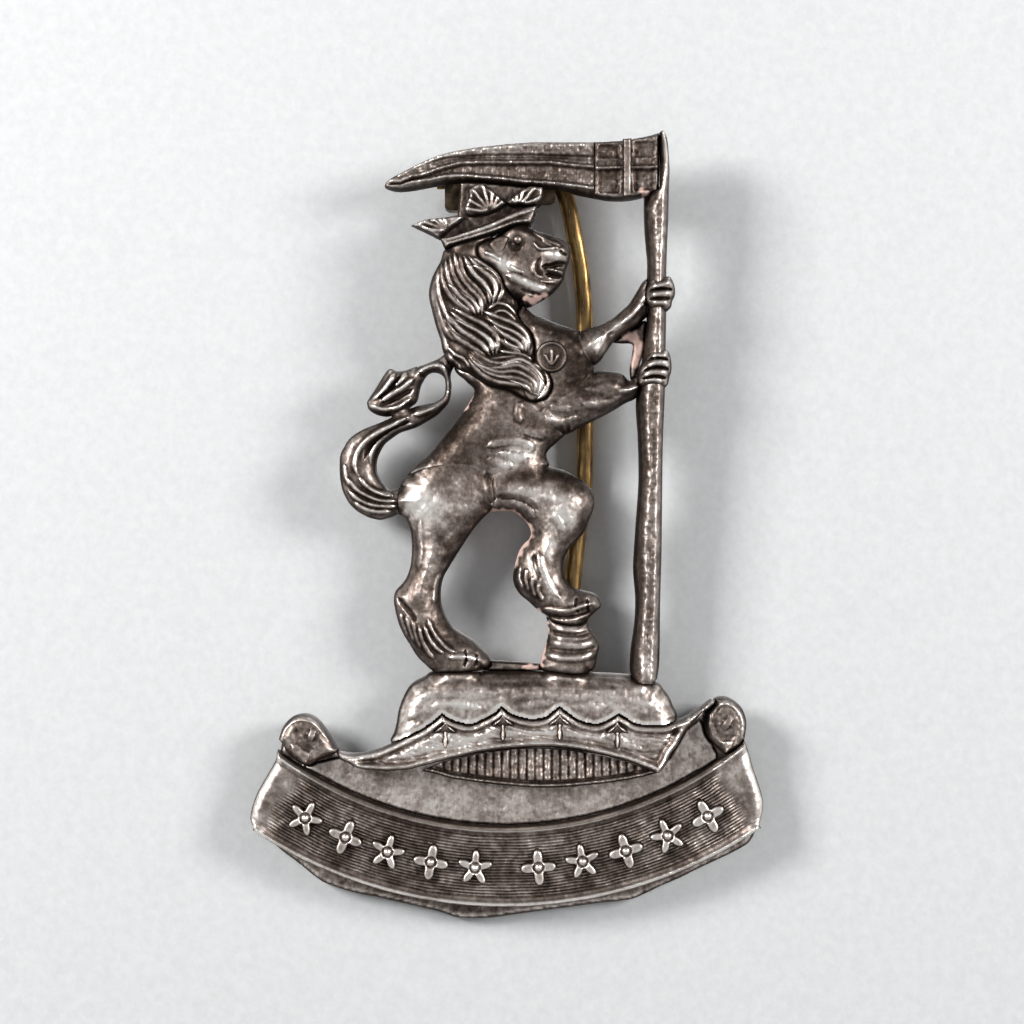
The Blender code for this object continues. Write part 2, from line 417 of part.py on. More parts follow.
def make_scroll():
    plate("scroll_base", smooth_outline([
        (-16.8, -16.2), (-17.1, -17.5), (-17.8, -18.7), (-18.5, -19.95), (-18.95, -21.1), (-19.12, -22.0),
        (-18.7, -22.8), (-17.8, -23.5), (-16.7, -24.45), (-15.5, -25.35), (-14.2, -26.4), (-13.3, -26.9),
        (-11.55, -27.45), (-9.6, -27.85), (-7.65, -28.3), (-5.1, -28.9), (-3.9, -29.3), (-2.8, -29.4),
        (-1.2, -29.35), (1.0, -29.05), (3.2, -28.75), (5.1, -28.5), (7.0, -28.25), (9.2, -28.0),
        (10.35, -27.55), (11.5, -27.0), (13.0, -26.35), (14.5, -25.6), (16.0, -24.9), (17.5, -24.15),
        (18.2, -23.6), (18.8, -22.4), (19.12, -21.3), (19.1, -20.4), (18.75, -19.3), (18.25, -18.0),
        (17.95, -16.9), (17.5, -15.8), (16.9, -14.0), (15.9, -13.1), (15.0, -13.2), (14.2, -14.1), (12.9, -16.0),
        (11.7, -17.9), (9.0, -17.6), (4.0, -16.6), (0.0, -16.7), (-4.8, -17.6), (-9.0, -18.2), (-11.6, -17.8),
        (-12.6, -16.9), (-13.6, -15.4), (-15.1, -14.4), (-16.3, -14.9)]), 0.8)
    lower_field = arc(FIELD_RADIUS, -33.0, 34.5, 16)
    field = plate("scroll_field", smooth_outline(lower_field + [
        (15.4, -16.4, C), (14.65, -14.8), (14.3, -14.4, C), (13.3, -15.2), (12.5, -16.5), (11.6, -17.6),
        (9.0, -17.4), (4.0, -16.4), (0.0, -16.5), (-4.8, -17.3), (-9.0, -18.0), (-11.5, -17.6),
        (-12.4, -17.2, C), (-14.0, -17.6, C)]), 1.5, 0.85)
    sides_left = [(-17.0, -16.0), (-17.2, -17.4), (-17.9, -18.7), (-18.6, -19.95), (-19.0, -21.1),
                  (-19.1, -21.9), (-18.8, -22.5)]
    sides_right = [(18.75, -22.3), (19.05, -21.3), (19.05, -20.4), (18.75, -19.3), (18.3, -18.0), (18.0, -16.9),
                   (17.65, -16.0)]
    ribbon = arc(RIBBON_OUTER_RADIUS, -32.5, 34.0, 16) + sides_right + [(17.3, -16.4)]
    ribbon += arc(RIBBON_INNER_RADIUS, 36.0, -34.5, 16) + sides_left
    plate("scroll_ribbon", smooth_outline(ribbon, 2.2), 2.9, 0.85, edge=0.15)
    left = plate("scroll_curl_left", smooth_outline([
        (-16.95, -16.2), (-16.9, -15.6), (-16.6, -14.9), (-16.0, -14.3), (-15.3, -14.05), (-14.6, -14.1),
        (-14.0, -14.5), (-13.5, -15.1), (-13.1, -15.7), (-12.75, -16.3), (-12.5, -16.8), (-13.0, -17.1),
        (-14.0, -17.5), (-14.8, -17.9), (-15.6, -17.6), (-16.4, -16.9)]), 3.3, 0.85, edge=0.25)
    right = plate("scroll_curl_right", smooth_outline([
        (14.6, -14.2), (14.9, -13.4), (15.4, -12.95), (15.8, -12.75), (16.3, -12.75), (16.9, -13.05),
        (17.4, -13.5), (17.7, -14.05), (17.85, -14.8), (17.75, -15.6), (17.6, -16.3), (17.2, -16.9),
        (16.6, -17.2), (16.0, -16.9), (15.3, -16.2), (14.8, -15.5)]), 3.3, 0.85, edge=0.25)
    for curl in (left, right):
        cut(curl, ["scroll_ribbon", "cap_brim"])
    cut(field, ["scroll_curl_left", "scroll_curl_right", "scroll_ribbon"])


def motif_outline(centre, angle, petals, reach, waist):
    """A rosette or lozenge: its radius swings between the waist and the reach."""
    made = []
    count = petals * 6
    for i in range(count):
        turn = 2 * math.pi * i / count
        radius = waist + (reach - waist) * abs(math.cos(petals * turn / 2)) ** 1.5
        made.append((centre[0] + radius * math.cos(turn + angle), centre[1] + radius * math.sin(turn + angle)))
    return made


def make_motifs():
    number = 0
    for first in MOTIF_FIRST_ANGLES:
        for i in range(MOTIFS_PER_SIDE):
            number += 1
            degrees = first + MOTIF_ANGLE_STEP * i
            centre = arc(MOTIF_RADIUS, degrees, degrees, 1)[0]
            petals = 5 if number % 2 else 4
            outline = motif_outline(centre, math.radians(degrees + 90), petals, MOTIF_REACH, MOTIF_WAIST)
            plate(f"ribbon_motif_{number:02d}", outline, 3.2, 2.95, color=WORN_SILVER)


def wire(name, points, radius, sides, closed=False):
    """A round wire through the points, as a curve object."""
    curve = bpy.data.curves.new(name, "CURVE")
    curve.dimensions = "3D"
    curve.bevel_depth = radius * MM
    curve.bevel_resolution = sides // 4
    curve.use_fill_caps = not closed
    curve.resolution_u = 1
    spline = curve.splines.new("POLY")
    spline.points.add(len(points) - 1)
    for point, (x, y, z) in zip(spline.points, points):
        point.co = (x * MM, y * MM, z * MM, 1.0)
    spline.use_cyclic_u = closed
    return bpy.data.objects.new(name, curve)


def make_lug(name, centre):
    """A half loop of flattened wire standing on a round-ended foot plate behind the blade."""
    x, z = centre
    turn_depth = LUG_BACK - LUG_BAR_DEPTH / 2 - LUG_LOOP_RADIUS
    path = [(0.0, LUG_PLATE_DEPTH / 2, LUG_LOOP_RADIUS)]
    for i in range(13):
        angle = math.pi * i / 12
        path.append((0.0, turn_depth + LUG_LOOP_RADIUS * math.sin(angle), LUG_LOOP_RADIUS * math.cos(angle)))
    path.append((0.0, LUG_PLATE_DEPTH / 2, -LUG_LOOP_RADIUS))
    loop = meshed(wire(name, path, LUG_BAR_DEPTH / 2, 12), PARTS)
    loop.data.transform(Matrix.Diagonal((LUG_BAR_WIDTH / LUG_BAR_DEPTH, 1.0, 1.0, 1.0)))
    loop.location = (x * MM, 0.0, z * MM)
    loop.data.materials.append(metal(name, BRONZE, 0.5))
    half_width = LUG_BAR_WIDTH / 2
    half_height = LUG_LOOP_RADIUS + LUG_BAR_DEPTH / 2 - half_width
    ends = [(x + half_width * math.cos(math.pi * i / 8), z + half_height + half_width * math.sin(math.pi * i / 8))
            for i in range(9)]
    ends += [(2 * x - a, 2 * z - b) for a, b in ends]
    foot = meshed(flat_curve(name + "_foot", ends, -GAP, -LUG_PLATE_DEPTH), CUTTERS)
    foot.hide_render = True
    foot.display_type = "WIRE"
    join = loop.modifiers.new("foot", "BOOLEAN")
    join.operation = "UNION"
    join.solver = "EXACT"
    join.object = foot


PIN_ROUTE = [(-5.3, 26.0), (-2.0, 26.0), (1.0, 26.0), (3.3, 25.98), (3.95, 25.7), (4.4, 24.9), (4.75, 23.6),
             (5.05, 22.1), (5.35, 20.6), (5.6, 19.1), (5.8, 16.9), (5.87, 15.2), (5.95, 10.9), (5.9, 7.1),
             (5.85, 3.4), (5.55, 0.7), (5.3, -1.1), (4.95, -4.3), (4.8, -6.6)]


def make_split_pin():
    """Two legs side by side, from the lugs down to a round eye, as one bent wire."""
    lengths = [0.0]
    for a, b in zip(PIN_ROUTE, PIN_ROUTE[1:]):
        lengths.append(lengths[-1] + math.dist(a, b))
    bend = lengths[3]
    sides = []
    for side in (1.0, -1.0):
        leg = []
        for i, (x, z) in enumerate(PIN_ROUTE):
            before = Vector(PIN_ROUTE[max(0, i - 1)])
            after = Vector(PIN_ROUTE[min(len(PIN_ROUTE) - 1, i + 1)])
            along = (after - before).normalized()
            share = max(0.0, lengths[i] - bend) / (lengths[-1] - bend)
            depth = PIN_DEPTH_AT_LUGS + (PIN_DEPTH_AT_EYE - PIN_DEPTH_AT_LUGS) * share
            leg.append((x - along.y * PIN_LEG_OFFSET * side, depth, z + along.x * PIN_LEG_OFFSET * side))
        sides.append(leg)
    eye = []
    for i in range(17):
        angle = math.radians(68 - 316 * i / 16)
        eye.append((PIN_EYE[0] + PIN_EYE_RADIUS * math.cos(angle), PIN_DEPTH_AT_EYE,
                    PIN_EYE[1] + PIN_EYE_RADIUS * math.sin(angle)))
    pin = meshed(wire("split_pin", sides[0] + eye + sides[1][::-1], PIN_LEG_RADIUS, 8), PARTS)
    pin.data.materials.append(metal("split_pin", BRASS, 0.3))
    slide_axis = Vector((0.0, PIN_DEPTH_AT_LUGS * MM, 26.0 * MM))
    pin.data.transform(pin.matrix_world)
    for vertex in pin.data.vertices:
        vertex.co -= slide_axis
    pin.matrix_world.identity()
    pin.location = slide_axis


clear_scene()
PARTS = new_collection("cap_badge")
CUTTERS = new_collection("cutters")
OUTLINES = {}
make_scythe()
make_crown()
make_head()
make_mane()
outline_paws()
make_forelegs()
make_hind_legs()
make_body()
make_tail()
make_cap()
make_scroll()
make_motifs()
make_lug("lug_left", LEFT_LUG)
make_lug("lug_right", RIGHT_LUG)
make_split_pin()
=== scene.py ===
"""Cap badge: the struck relief, its oxidised silver, the brass split pin and the pale board behind it.

Places in the tables are millimetres in the frame's XZ plane, seen from the face; heights are millimetres in
front of the back plane. Meshes are made in metres.
"""

import math

import bpy
import numpy as np
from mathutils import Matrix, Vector
from mathutils.geometry import delaunay_2d_cdt


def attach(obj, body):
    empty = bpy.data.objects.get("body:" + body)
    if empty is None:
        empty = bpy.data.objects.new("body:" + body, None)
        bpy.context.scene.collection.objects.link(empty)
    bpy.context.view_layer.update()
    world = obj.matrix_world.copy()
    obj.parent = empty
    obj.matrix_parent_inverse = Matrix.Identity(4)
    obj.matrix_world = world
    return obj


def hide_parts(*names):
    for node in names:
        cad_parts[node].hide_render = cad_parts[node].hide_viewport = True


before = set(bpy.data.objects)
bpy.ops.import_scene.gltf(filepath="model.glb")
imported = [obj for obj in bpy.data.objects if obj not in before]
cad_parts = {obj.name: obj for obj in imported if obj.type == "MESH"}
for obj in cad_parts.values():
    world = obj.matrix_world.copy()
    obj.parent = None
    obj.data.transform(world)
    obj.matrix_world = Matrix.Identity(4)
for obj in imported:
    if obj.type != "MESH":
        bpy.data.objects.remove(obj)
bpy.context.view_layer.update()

MM = 0.001
C = 1                      # marks an outline point as a sharp corner
OUTLINE_STEP = 0.14        # spacing of points along a silhouette
WELD = 1e-6                # points closer than this are one point
SHELL = 0.9                # thickness of the struck metal
RIM = 0.35                 # width of the flat rim round the hollow back
BACK_CELL = 0.25           # cell size of the hollow back's depth grid
PROBE_REACH = 0.12         # how far outside an edge a neighbour is looked for
NEIGHBOUR_REACH = 3.0      # edges further from a piece than this don't round it
BASE_WEAR = 0.41           # how rubbed a level surface is, from 0 black to 1 bright
WEAR_AND_PAINTED_LIGHT_GAIN = 1.35         # how strongly the patches of rubbed wear, painted highlight and painted shade show
RELIEF_REACH = 0.9         # width over which heights are compared with their surroundings
SMALLEST_ISLAND = 0.15     # loose scraps of a cut outline below this area are dropped, mm2
SCROLL_CENTRE = (-0.15, 5.55)
FIELD_RADIUS = 27.9
RIBBON_INNER = 27.95
RIBBON_OUTER = 33.95
MOTIF_RADIUS = 31.0
MOTIF_FIRST_ANGLES = (-28.5, 4.6)
MOTIF_ANGLE_STEP = 6.1
MOTIFS_PER_SIDE = 5
MOTIF_REACH = 1.4
MOTIF_WAIST = 0.62


# ---------------------------------------------------------------- outlines

def through(points, step=OUTLINE_STEP, closed=True):
    """A smooth line through the points, sharp at those marked C, as an array."""
    made = []
    count = len(points)
    for i in range(count if closed else count - 1):
        start, end = points[i], points[(i + 1) % count]
        before = points[i - 1] if (closed or i > 0) and len(start) == 2 else start
        after = points[(i + 2) % count] if (closed or i + 2 < count) and len(end) == 2 else end
        a, b, c, d = (np.array(p[:2], float) for p in (before, start, end, after))
        for t in np.linspace(0, 1, max(1, round(math.dist(b, c) / step)), endpoint=False):
            made.append(0.5 * (2 * b + (c - a) * t + (2 * a - 5 * b + 4 * c - d) * t * t
                               + (3 * b - a - 3 * c + d) * t ** 3))
    if not closed:
        made.append(np.array(points[-1][:2], float))
    return np.array(made)


def on_arc(radius, degrees):
    """The point on a scroll arc, with the angle from straight down, positive to +X."""
    angle = math.radians(degrees)
    return (SCROLL_CENTRE[0] + radius * math.sin(angle), SCROLL_CENTRE[1] - radius * math.cos(angle))


def arc(radius, first, last, steps):
    return [on_arc(radius, degrees) for degrees in np.linspace(first, last, steps + 1)]


def ring(centre, radius, count=24):
    turns = np.linspace(0, 2 * math.pi, count, endpoint=False)
    return [(centre[0] + radius * math.cos(turn), centre[1] + radius * math.sin(turn)) for turn in turns]


CROWN_EDGE = [(2.25, 23.7, C), (2.1, 22.95), (1.75, 22.3, C), (0.6, 22.2), (-0.5, 21.8), (-1.65, 21.4),
              (-2.8, 21.05), (-3.7, 20.8), (-4.6, 20.5, C)]
OUTLINES = {
    "blade": [(-9.15, 25.35), (-8.8, 25.85), (-8.05, 26.25), (-7.2, 26.7), (-5.7, 27.4), (-4.3, 27.85),
        (-2.4, 28.2), (-0.15, 28.45), (1.95, 28.6), (4.35, 28.6), (6.45, 28.6, C), (6.45, 24.45, C),
        (5.05, 24.75), (4.0, 25.1), (2.85, 25.15), (1.2, 25.3), (-0.5, 25.45), (-2.0, 25.6), (-3.4, 25.6),
        (-4.65, 25.45), (-5.8, 25.25), (-7.2, 25.0), (-8.2, 24.95), (-8.85, 25.1)],
    "blade_socket": [(6.46, 28.6, C), (7.75, 28.65), (8.85, 28.75), (10.0, 28.95), (10.9, 29.15),
        (11.3, 29.3, C), (11.35, 26.6), (11.3, 24.9, C), (10.75, 24.7), (10.0, 24.45), (8.85, 24.25),
        (7.7, 24.25), (7.0, 24.35), (6.46, 24.45, C)],
    "blade_collar": [(8.6, 28.7, C), (9.25, 28.75, C), (9.25, 24.4, C), (8.6, 24.35, C)],
    "staff": [(10.25, 24.6, C), (11.4, 25.2, C), (11.4, 27.0), (11.35, 29.0), (11.5, 29.4), (11.8, 29.3),
        (12.0, 28.6), (12.1, 27.5), (12.15, 26.3), (12.1, 25.0), (12.05, 23.0), (11.95, 20.6), (11.9, 18.5),
        (11.9, 16.0), (11.85, 13.0), (11.8, 10.0), (11.65, 6.4), (11.6, 3.0), (11.55, -1.9), (11.45, -5.6),
        (11.4, -9.4), (11.3, -10.9), (11.1, -11.6), (10.4, -11.75), (9.5, -11.55), (9.2, -10.9),
        (9.25, -9.4), (9.4, -8.3), (9.55, -7.1), (9.6, -5.5), (9.45, -3.4), (9.5, -1.9), (9.7, 1.0),
        (9.85, 3.4), (9.8, 6.4), (9.65, 9.0), (9.9, 11.0), (10.2, 13.0), (10.4, 15.0), (10.45, 17.5),
        (10.5, 19.5), (10.4, 20.7), (10.3, 22.0), (10.25, 23.5)],
    "crown_band": CROWN_EDGE + [(-4.8, 20.9), (-4.95, 21.3, C), (-4.1, 21.45), (-2.8, 21.9), (-1.3, 22.45),
        (0.1, 23.1), (1.3, 23.55)],
    "crown_web": CROWN_EDGE + [(-4.95, 21.3, C), (-5.75, 21.7), (-6.9, 22.25, C), (-5.8, 22.7),
        (-4.6, 22.85), (-3.7, 22.95, C), (-3.5, 25.7, C), (2.9, 25.3, C), (2.55, 23.9, C)],
    "fleuron_left": [(-7.15, 22.3, C), (-6.5, 22.6), (-5.8, 22.8), (-4.65, 22.9), (-3.7, 23.05),
        (-3.1, 22.9, C), (-3.5, 22.4), (-4.1, 22.0), (-4.6, 21.55), (-5.15, 21.35), (-5.75, 21.65),
        (-6.5, 22.0)],
    "fleuron_middle": [(-2.9, 24.4), (-2.85, 25.0), (-2.0, 25.45), (-1.3, 25.1), (-0.5, 24.45),
        (0.0, 23.9, C), (-0.5, 23.45), (-1.3, 23.1), (-2.2, 22.95), (-2.95, 23.0), (-3.2, 23.6)],
    "fleuron_right": [(-0.1, 23.95, C), (0.35, 24.4), (1.0, 24.9), (1.6, 25.2), (2.25, 25.4), (2.7, 25.1),
        (2.7, 24.4), (2.3, 23.8), (1.7, 23.65), (1.0, 23.7), (0.35, 23.7)],
    "head": [(-2.2, 20.6), (-1.4, 21.2), (-0.5, 21.7), (0.4, 22.05), (1.15, 22.3), (1.75, 22.1),
        (2.55, 21.8), (3.7, 21.45), (4.45, 21.05), (4.75, 20.55), (4.65, 19.7), (4.4, 19.05), (4.2, 18.3),
        (3.65, 17.55), (2.9, 16.95), (2.1, 16.5), (1.5, 16.25), (1.0, 16.55), (0.4, 16.9), (-0.2, 17.6),
        (-0.5, 18.4), (-1.1, 19.1), (-2.0, 19.75)],
    "eye": ring((0.8, 21.1), 0.38, 12),
    "ear": [(-1.3, 20.8), (-0.6, 21.35), (0.1, 21.3), (-0.1, 20.6), (-0.4, 20.1), (-0.95, 20.2)],
    "mane": [(-4.7, 20.45), (-4.95, 19.7), (-5.3, 19.05), (-5.6, 18.4), (-5.8, 17.6), (-5.8, 16.9),
        (-5.6, 16.0), (-5.4, 15.2), (-5.2, 14.5), (-4.95, 13.8), (-4.8, 13.0), (-4.55, 12.5), (-4.1, 11.9),
        (-3.5, 11.5), (-2.8, 11.3), (-2.0, 10.8), (-1.1, 10.3), (0.1, 10.0), (1.1, 9.45), (1.9, 9.15),
        (2.85, 9.45), (3.3, 10.3), (3.1, 11.1), (2.5, 11.85), (2.1, 12.6), (2.0, 13.5), (1.7, 14.3),
        (1.1, 15.0), (0.7, 15.75), (0.95, 16.5), (0.7, 17.3), (0.1, 18.2), (-0.4, 19.2), (-0.9, 20.4),
        (-0.9, 21.3), (-1.6, 21.7), (-3.0, 21.5), (-4.1, 21.0)],
    "lock_nape": [(-3.0, 19.4), (-2.0, 19.3), (-1.1, 19.0), (-0.5, 18.2), (-0.45, 17.3), (-0.75, 16.6),
        (-1.1, 16.1), (-1.4, 16.9), (-2.0, 17.6), (-2.8, 18.4), (-3.15, 19.0)],
    "lock_collar": [(-4.4, 18.0), (-3.6, 17.7), (-3.0, 17.2), (-2.2, 16.7), (-1.8, 16.0), (-2.0, 15.5),
        (-2.6, 15.5), (-3.5, 16.1), (-4.1, 16.9), (-4.5, 17.6)],
    "lock_centre": [(-4.6, 16.0), (-3.7, 15.4), (-2.4, 14.8), (-1.3, 14.2), (-0.6, 13.5), (-0.5, 13.1),
        (-1.1, 12.7), (-1.6, 12.6), (-2.2, 13.1), (-3.1, 13.6), (-4.1, 14.2), (-4.6, 15.0)],
    "lock_chest": [(-1.6, 15.6), (-0.5, 15.0), (0.6, 14.6), (1.5, 14.0), (1.7, 13.4), (1.6, 12.75),
        (1.0, 12.8), (-0.1, 13.2), (-0.45, 13.9), (-1.1, 14.6)],
    "lock_shoulder": [(-2.8, 12.8), (-2.0, 12.1), (-0.9, 11.9), (0.6, 12.3), (1.7, 11.9), (2.5, 11.2),
        (3.0, 10.4), (2.8, 9.7), (1.95, 9.2), (1.4, 9.45), (1.0, 10.1), (-0.1, 10.6), (-1.3, 10.9),
        (-2.2, 11.5), (-2.8, 12.2)],
    "torso": [(-3.9, 11.9), (-3.1, 10.8), (-2.55, 10.3), (-2.45, 9.85), (-2.8, 9.15), (-3.3, 8.4),
        (-3.9, 7.6), (-4.65, 6.7), (-5.3, 5.85), (-5.9, 5.2), (-6.7, 4.5), (-7.35, 3.8), (-7.9, 3.1),
        (-7.95, 2.5, C), (-4.3, 1.5), (-0.5, 1.9), (1.0, 3.0), (2.5, 4.1), (3.15, 4.45), (2.95, 5.2),
        (3.15, 5.65), (3.7, 6.15), (4.4, 6.8), (5.1, 7.5), (5.9, 9.4), (6.4, 10.9), (6.5, 11.8),
        (6.1, 12.4), (5.9, 13.5), (5.5, 14.4), (4.9, 14.65), (4.0, 14.95), (2.85, 15.4), (1.95, 15.8),
        (1.5, 16.15), (1.0, 16.45), (0.4, 16.9), (-0.5, 16.1), (-2.0, 13.9)],
    "roundel": ring((3.3, 12.45), 1.2),
    "foreleg_upper": [(5.35, 14.3), (6.2, 14.7), (7.0, 15.0), (7.9, 15.45), (8.55, 16.0), (9.1, 16.5),
        (9.55, 17.2), (10.0, 17.95), (10.3, 18.3), (11.0, 18.7, C), (11.0, 15.7, C), (10.3, 15.4),
        (9.8, 14.9), (9.15, 14.55), (8.5, 14.1), (7.95, 13.65), (7.4, 12.9), (7.0, 12.3), (6.5, 11.95),
        (6.1, 12.2, C), (5.6, 13.1)],
    "foreleg_lower": [(4.4, 6.8), (5.5, 7.3), (6.5, 7.8), (7.2, 8.15), (7.95, 8.55), (8.85, 9.1),
        (9.6, 9.45), (10.2, 10.05), (10.7, 10.3, C), (10.7, 12.2, C), (10.3, 11.85), (9.75, 11.25),
        (9.15, 10.8), (8.6, 11.3), (7.7, 11.5), (6.8, 11.5), (6.1, 11.2), (5.1, 10.05), (4.0, 9.4),
        (3.3, 8.8), (2.8, 8.3), (2.9, 7.8), (3.5, 7.2)],
    "paw_web": [(7.95, 13.65, C), (8.5, 14.3), (9.15, 14.7), (9.8, 15.1), (10.35, 15.3, C), (10.6, 14.6),
        (10.5, 13.5), (10.1, 12.5), (9.8, 11.6), (9.5, 10.8, C), (9.25, 10.95), (9.2, 11.8), (9.4, 13.0),
        (9.35, 13.55), (8.5, 13.6)],
    "paw_upper": [(10.6, 18.15), (11.1, 18.3), (11.65, 18.45), (12.1, 18.5), (12.35, 18.15), (12.5, 17.65),
        (12.5, 17.1), (12.3, 16.65), (12.2, 16.2), (11.8, 15.9), (11.2, 15.9), (10.6, 16.05), (10.2, 16.9)],
    "paw_lower": [(10.7, 13.0), (11.4, 13.05), (11.95, 13.0), (12.2, 12.4), (12.25, 11.55), (12.1, 11.0),
        (11.95, 10.4), (11.5, 10.2), (10.75, 10.15), (10.0, 10.25), (9.65, 10.65), (9.75, 11.55),
        (10.2, 12.3)],
    "hind_leg_standing": [(-7.9, 3.1), (-7.3, 3.75), (-6.15, 4.2), (-4.65, 4.5), (-3.15, 4.5), (-2.0, 4.2),
        (-1.35, 3.5), (-1.05, 2.6), (-1.0, 1.75), (-1.2, 1.1), (-1.9, 0.4), (-2.6, -0.45), (-3.2, -1.35),
        (-3.75, -2.2), (-4.3, -3.1), (-4.7, -3.8), (-4.9, -4.5), (-4.95, -5.2), (-4.9, -5.9), (-4.6, -6.75),
        (-4.05, -7.6), (-3.4, -8.05), (-2.6, -8.55), (-2.0, -9.1), (-1.5, -9.6), (-1.25, -10.1),
        (-1.5, -10.65), (-2.8, -10.9), (-4.3, -10.95), (-5.4, -10.95), (-6.15, -10.35), (-6.7, -9.8),
        (-7.2, -9.0), (-7.7, -8.2), (-8.1, -7.3), (-8.35, -6.3), (-8.45, -5.5), (-8.3, -4.9), (-7.85, -4.4),
        (-7.5, -3.9), (-7.2, -3.0), (-7.1, -1.9), (-7.15, -0.75), (-7.35, 0.1), (-7.65, 0.6), (-7.95, 0.85),
        (-8.05, 1.9)],
    "hind_leg_raised": [(-1.0, 3.5), (-0.15, 3.9), (1.0, 4.35), (2.1, 4.5), (3.25, 4.35), (4.35, 4.05),
        (5.35, 3.5), (6.1, 2.9), (6.45, 2.3), (6.55, 1.65), (6.4, 1.0), (6.1, 0.25), (5.85, -0.4),
        (5.4, -1.0), (4.9, -1.5), (4.45, -2.1), (4.2, -2.8), (4.2, -3.5), (4.4, -4.1), (4.9, -4.6),
        (5.5, -4.85), (6.2, -5.0), (6.75, -5.25), (7.0, -5.7), (7.0, -6.1), (6.7, -6.4), (6.2, -6.85),
        (5.9, -7.2), (5.1, -7.4), (4.0, -7.3), (3.3, -7.1), (2.85, -6.7), (2.25, -6.3), (1.6, -5.7),
        (1.0, -5.2), (0.6, -4.6), (0.45, -3.9), (0.6, -3.0), (0.85, -2.1), (1.2, -1.5), (1.65, -1.05),
        (1.8, -0.6), (1.6, 0.0), (1.05, 0.6), (0.4, 1.0), (-0.5, 1.05), (-1.3, 1.05), (-1.05, 1.75),
        (-1.1, 2.6)],
    "stump": [(3.0, -6.8), (3.1, -7.9), (3.0, -8.6), (2.7, -9.5), (2.55, -10.2), (2.55, -10.8),
        (3.6, -11.0), (5.1, -11.15), (6.2, -10.95), (6.6, -10.5), (6.75, -9.75), (6.9, -9.1), (6.75, -8.6),
        (6.4, -8.0), (6.1, -7.5), (5.9, -7.0), (5.1, -7.1), (4.0, -7.0)],
    "ground_bar": [(-1.7, -10.15), (2.8, -10.4), (2.8, -10.85), (-1.7, -10.85)],
    "tail": [(-7.5, 0.5, C), (-8.1, 0.8), (-8.6, 0.6), (-9.3, 0.4), (-9.7, 0.4), (-10.4, 0.6),
        (-11.2, 1.05), (-11.8, 1.65), (-12.25, 2.5), (-12.45, 3.4), (-12.5, 4.3), (-12.45, 5.2),
        (-12.15, 5.85), (-11.8, 6.4), (-11.2, 6.9), (-10.4, 7.3), (-9.5, 7.65), (-8.8, 7.95), (-8.35, 8.25),
        (-7.8, 8.5, C), (-7.25, 8.7), (-6.5, 8.95), (-5.8, 9.1), (-5.15, 9.3), (-4.75, 9.6), (-4.6, 10.1),
        (-4.65, 10.9), (-5.0, 11.3), (-5.5, 11.4), (-5.9, 11.25), (-6.2, 10.9, C), (-6.8, 11.75, C),
        (-6.15, 12.0), (-5.5, 12.25), (-5.0, 12.5), (-4.5, 12.9, C), (-3.9, 12.0, C), (-4.2, 11.3),
        (-4.15, 10.5), (-4.2, 9.75), (-4.35, 9.2), (-4.65, 8.8), (-5.2, 8.25), (-5.9, 7.8), (-6.7, 7.35),
        (-7.4, 7.1), (-8.0, 6.9), (-8.6, 6.5), (-9.1, 6.1), (-9.45, 5.55), (-9.7, 4.9), (-9.75, 4.1),
        (-9.5, 3.5), (-9.2, 3.1), (-8.9, 2.7), (-8.5, 2.65), (-8.0, 2.8), (-7.5, 3.2, C)],
    "tail_tuft": [(-6.7, 9.3), (-7.1, 8.9), (-7.65, 8.55), (-8.3, 8.25), (-9.05, 8.1), (-9.75, 8.25),
        (-10.3, 8.6), (-10.45, 9.1), (-10.3, 9.45), (-9.9, 10.05), (-9.5, 10.7), (-9.15, 11.25),
        (-8.8, 11.65), (-8.5, 11.65), (-8.2, 11.5), (-7.6, 11.55), (-6.75, 11.85, C), (-6.15, 10.95, C),
        (-6.45, 10.35)],
    "cap_brim": [(-12.5, -16.8), (-11.8, -16.9), (-10.8, -16.9), (-9.5, -16.6), (-8.25, -16.05),
        (-7.3, -15.6), (-6.15, -15.0), (-5.3, -14.4), (-4.8, -13.95, C), (-4.3, -14.3), (-3.5, -14.6),
        (-2.6, -14.7), (-1.65, -14.3), (-0.9, -13.9), (-0.4, -13.4, C), (0.2, -13.9), (1.0, -14.2),
        (1.9, -14.35), (2.85, -14.2), (3.4, -13.8), (3.9, -13.4, C), (4.4, -13.8), (5.1, -14.3),
        (5.85, -14.6), (6.75, -14.7), (7.5, -14.4), (8.25, -13.95, C), (8.85, -14.3), (9.6, -14.7),
        (10.7, -14.8), (11.85, -14.75), (13.0, -14.3), (13.9, -13.8), (14.6, -13.3), (15.15, -12.9),
        (15.45, -13.05), (15.1, -13.5), (14.5, -13.95), (13.7, -14.8), (13.1, -15.5), (12.7, -16.3),
        (12.2, -17.0), (11.8, -17.8), (11.25, -18.4), (10.7, -18.2), (10.0, -17.9), (9.0, -17.55),
        (7.7, -17.2), (6.4, -16.9), (5.1, -16.65), (3.8, -16.5), (2.5, -16.45), (1.3, -16.5),
        (-0.5, -16.65), (-2.2, -16.9), (-3.5, -17.2), (-4.8, -17.5), (-6.15, -17.85), (-7.35, -18.15),
        (-8.8, -18.25), (-10.0, -18.2), (-10.9, -18.1), (-11.6, -17.8), (-12.15, -17.4), (-12.5, -17.1)],
    "cap_cushion": [(-8.7, -16.15), (-8.4, -15.4), (-8.25, -14.8), (-8.1, -13.9), (-7.85, -13.1),
        (-7.4, -12.2), (-6.9, -11.7), (-6.15, -11.3), (-5.6, -10.95), (-4.6, -10.9), (-0.5, -10.9),
        (3.2, -10.95), (7.0, -11.05), (9.2, -11.2), (11.15, -11.7), (11.65, -12.2), (12.1, -12.8),
        (12.4, -13.5), (12.7, -14.2), (12.4, -15.0), (11.5, -15.7), (7.0, -16.0), (-0.5, -16.1),
        (-5.0, -16.3), (-8.0, -16.4)],
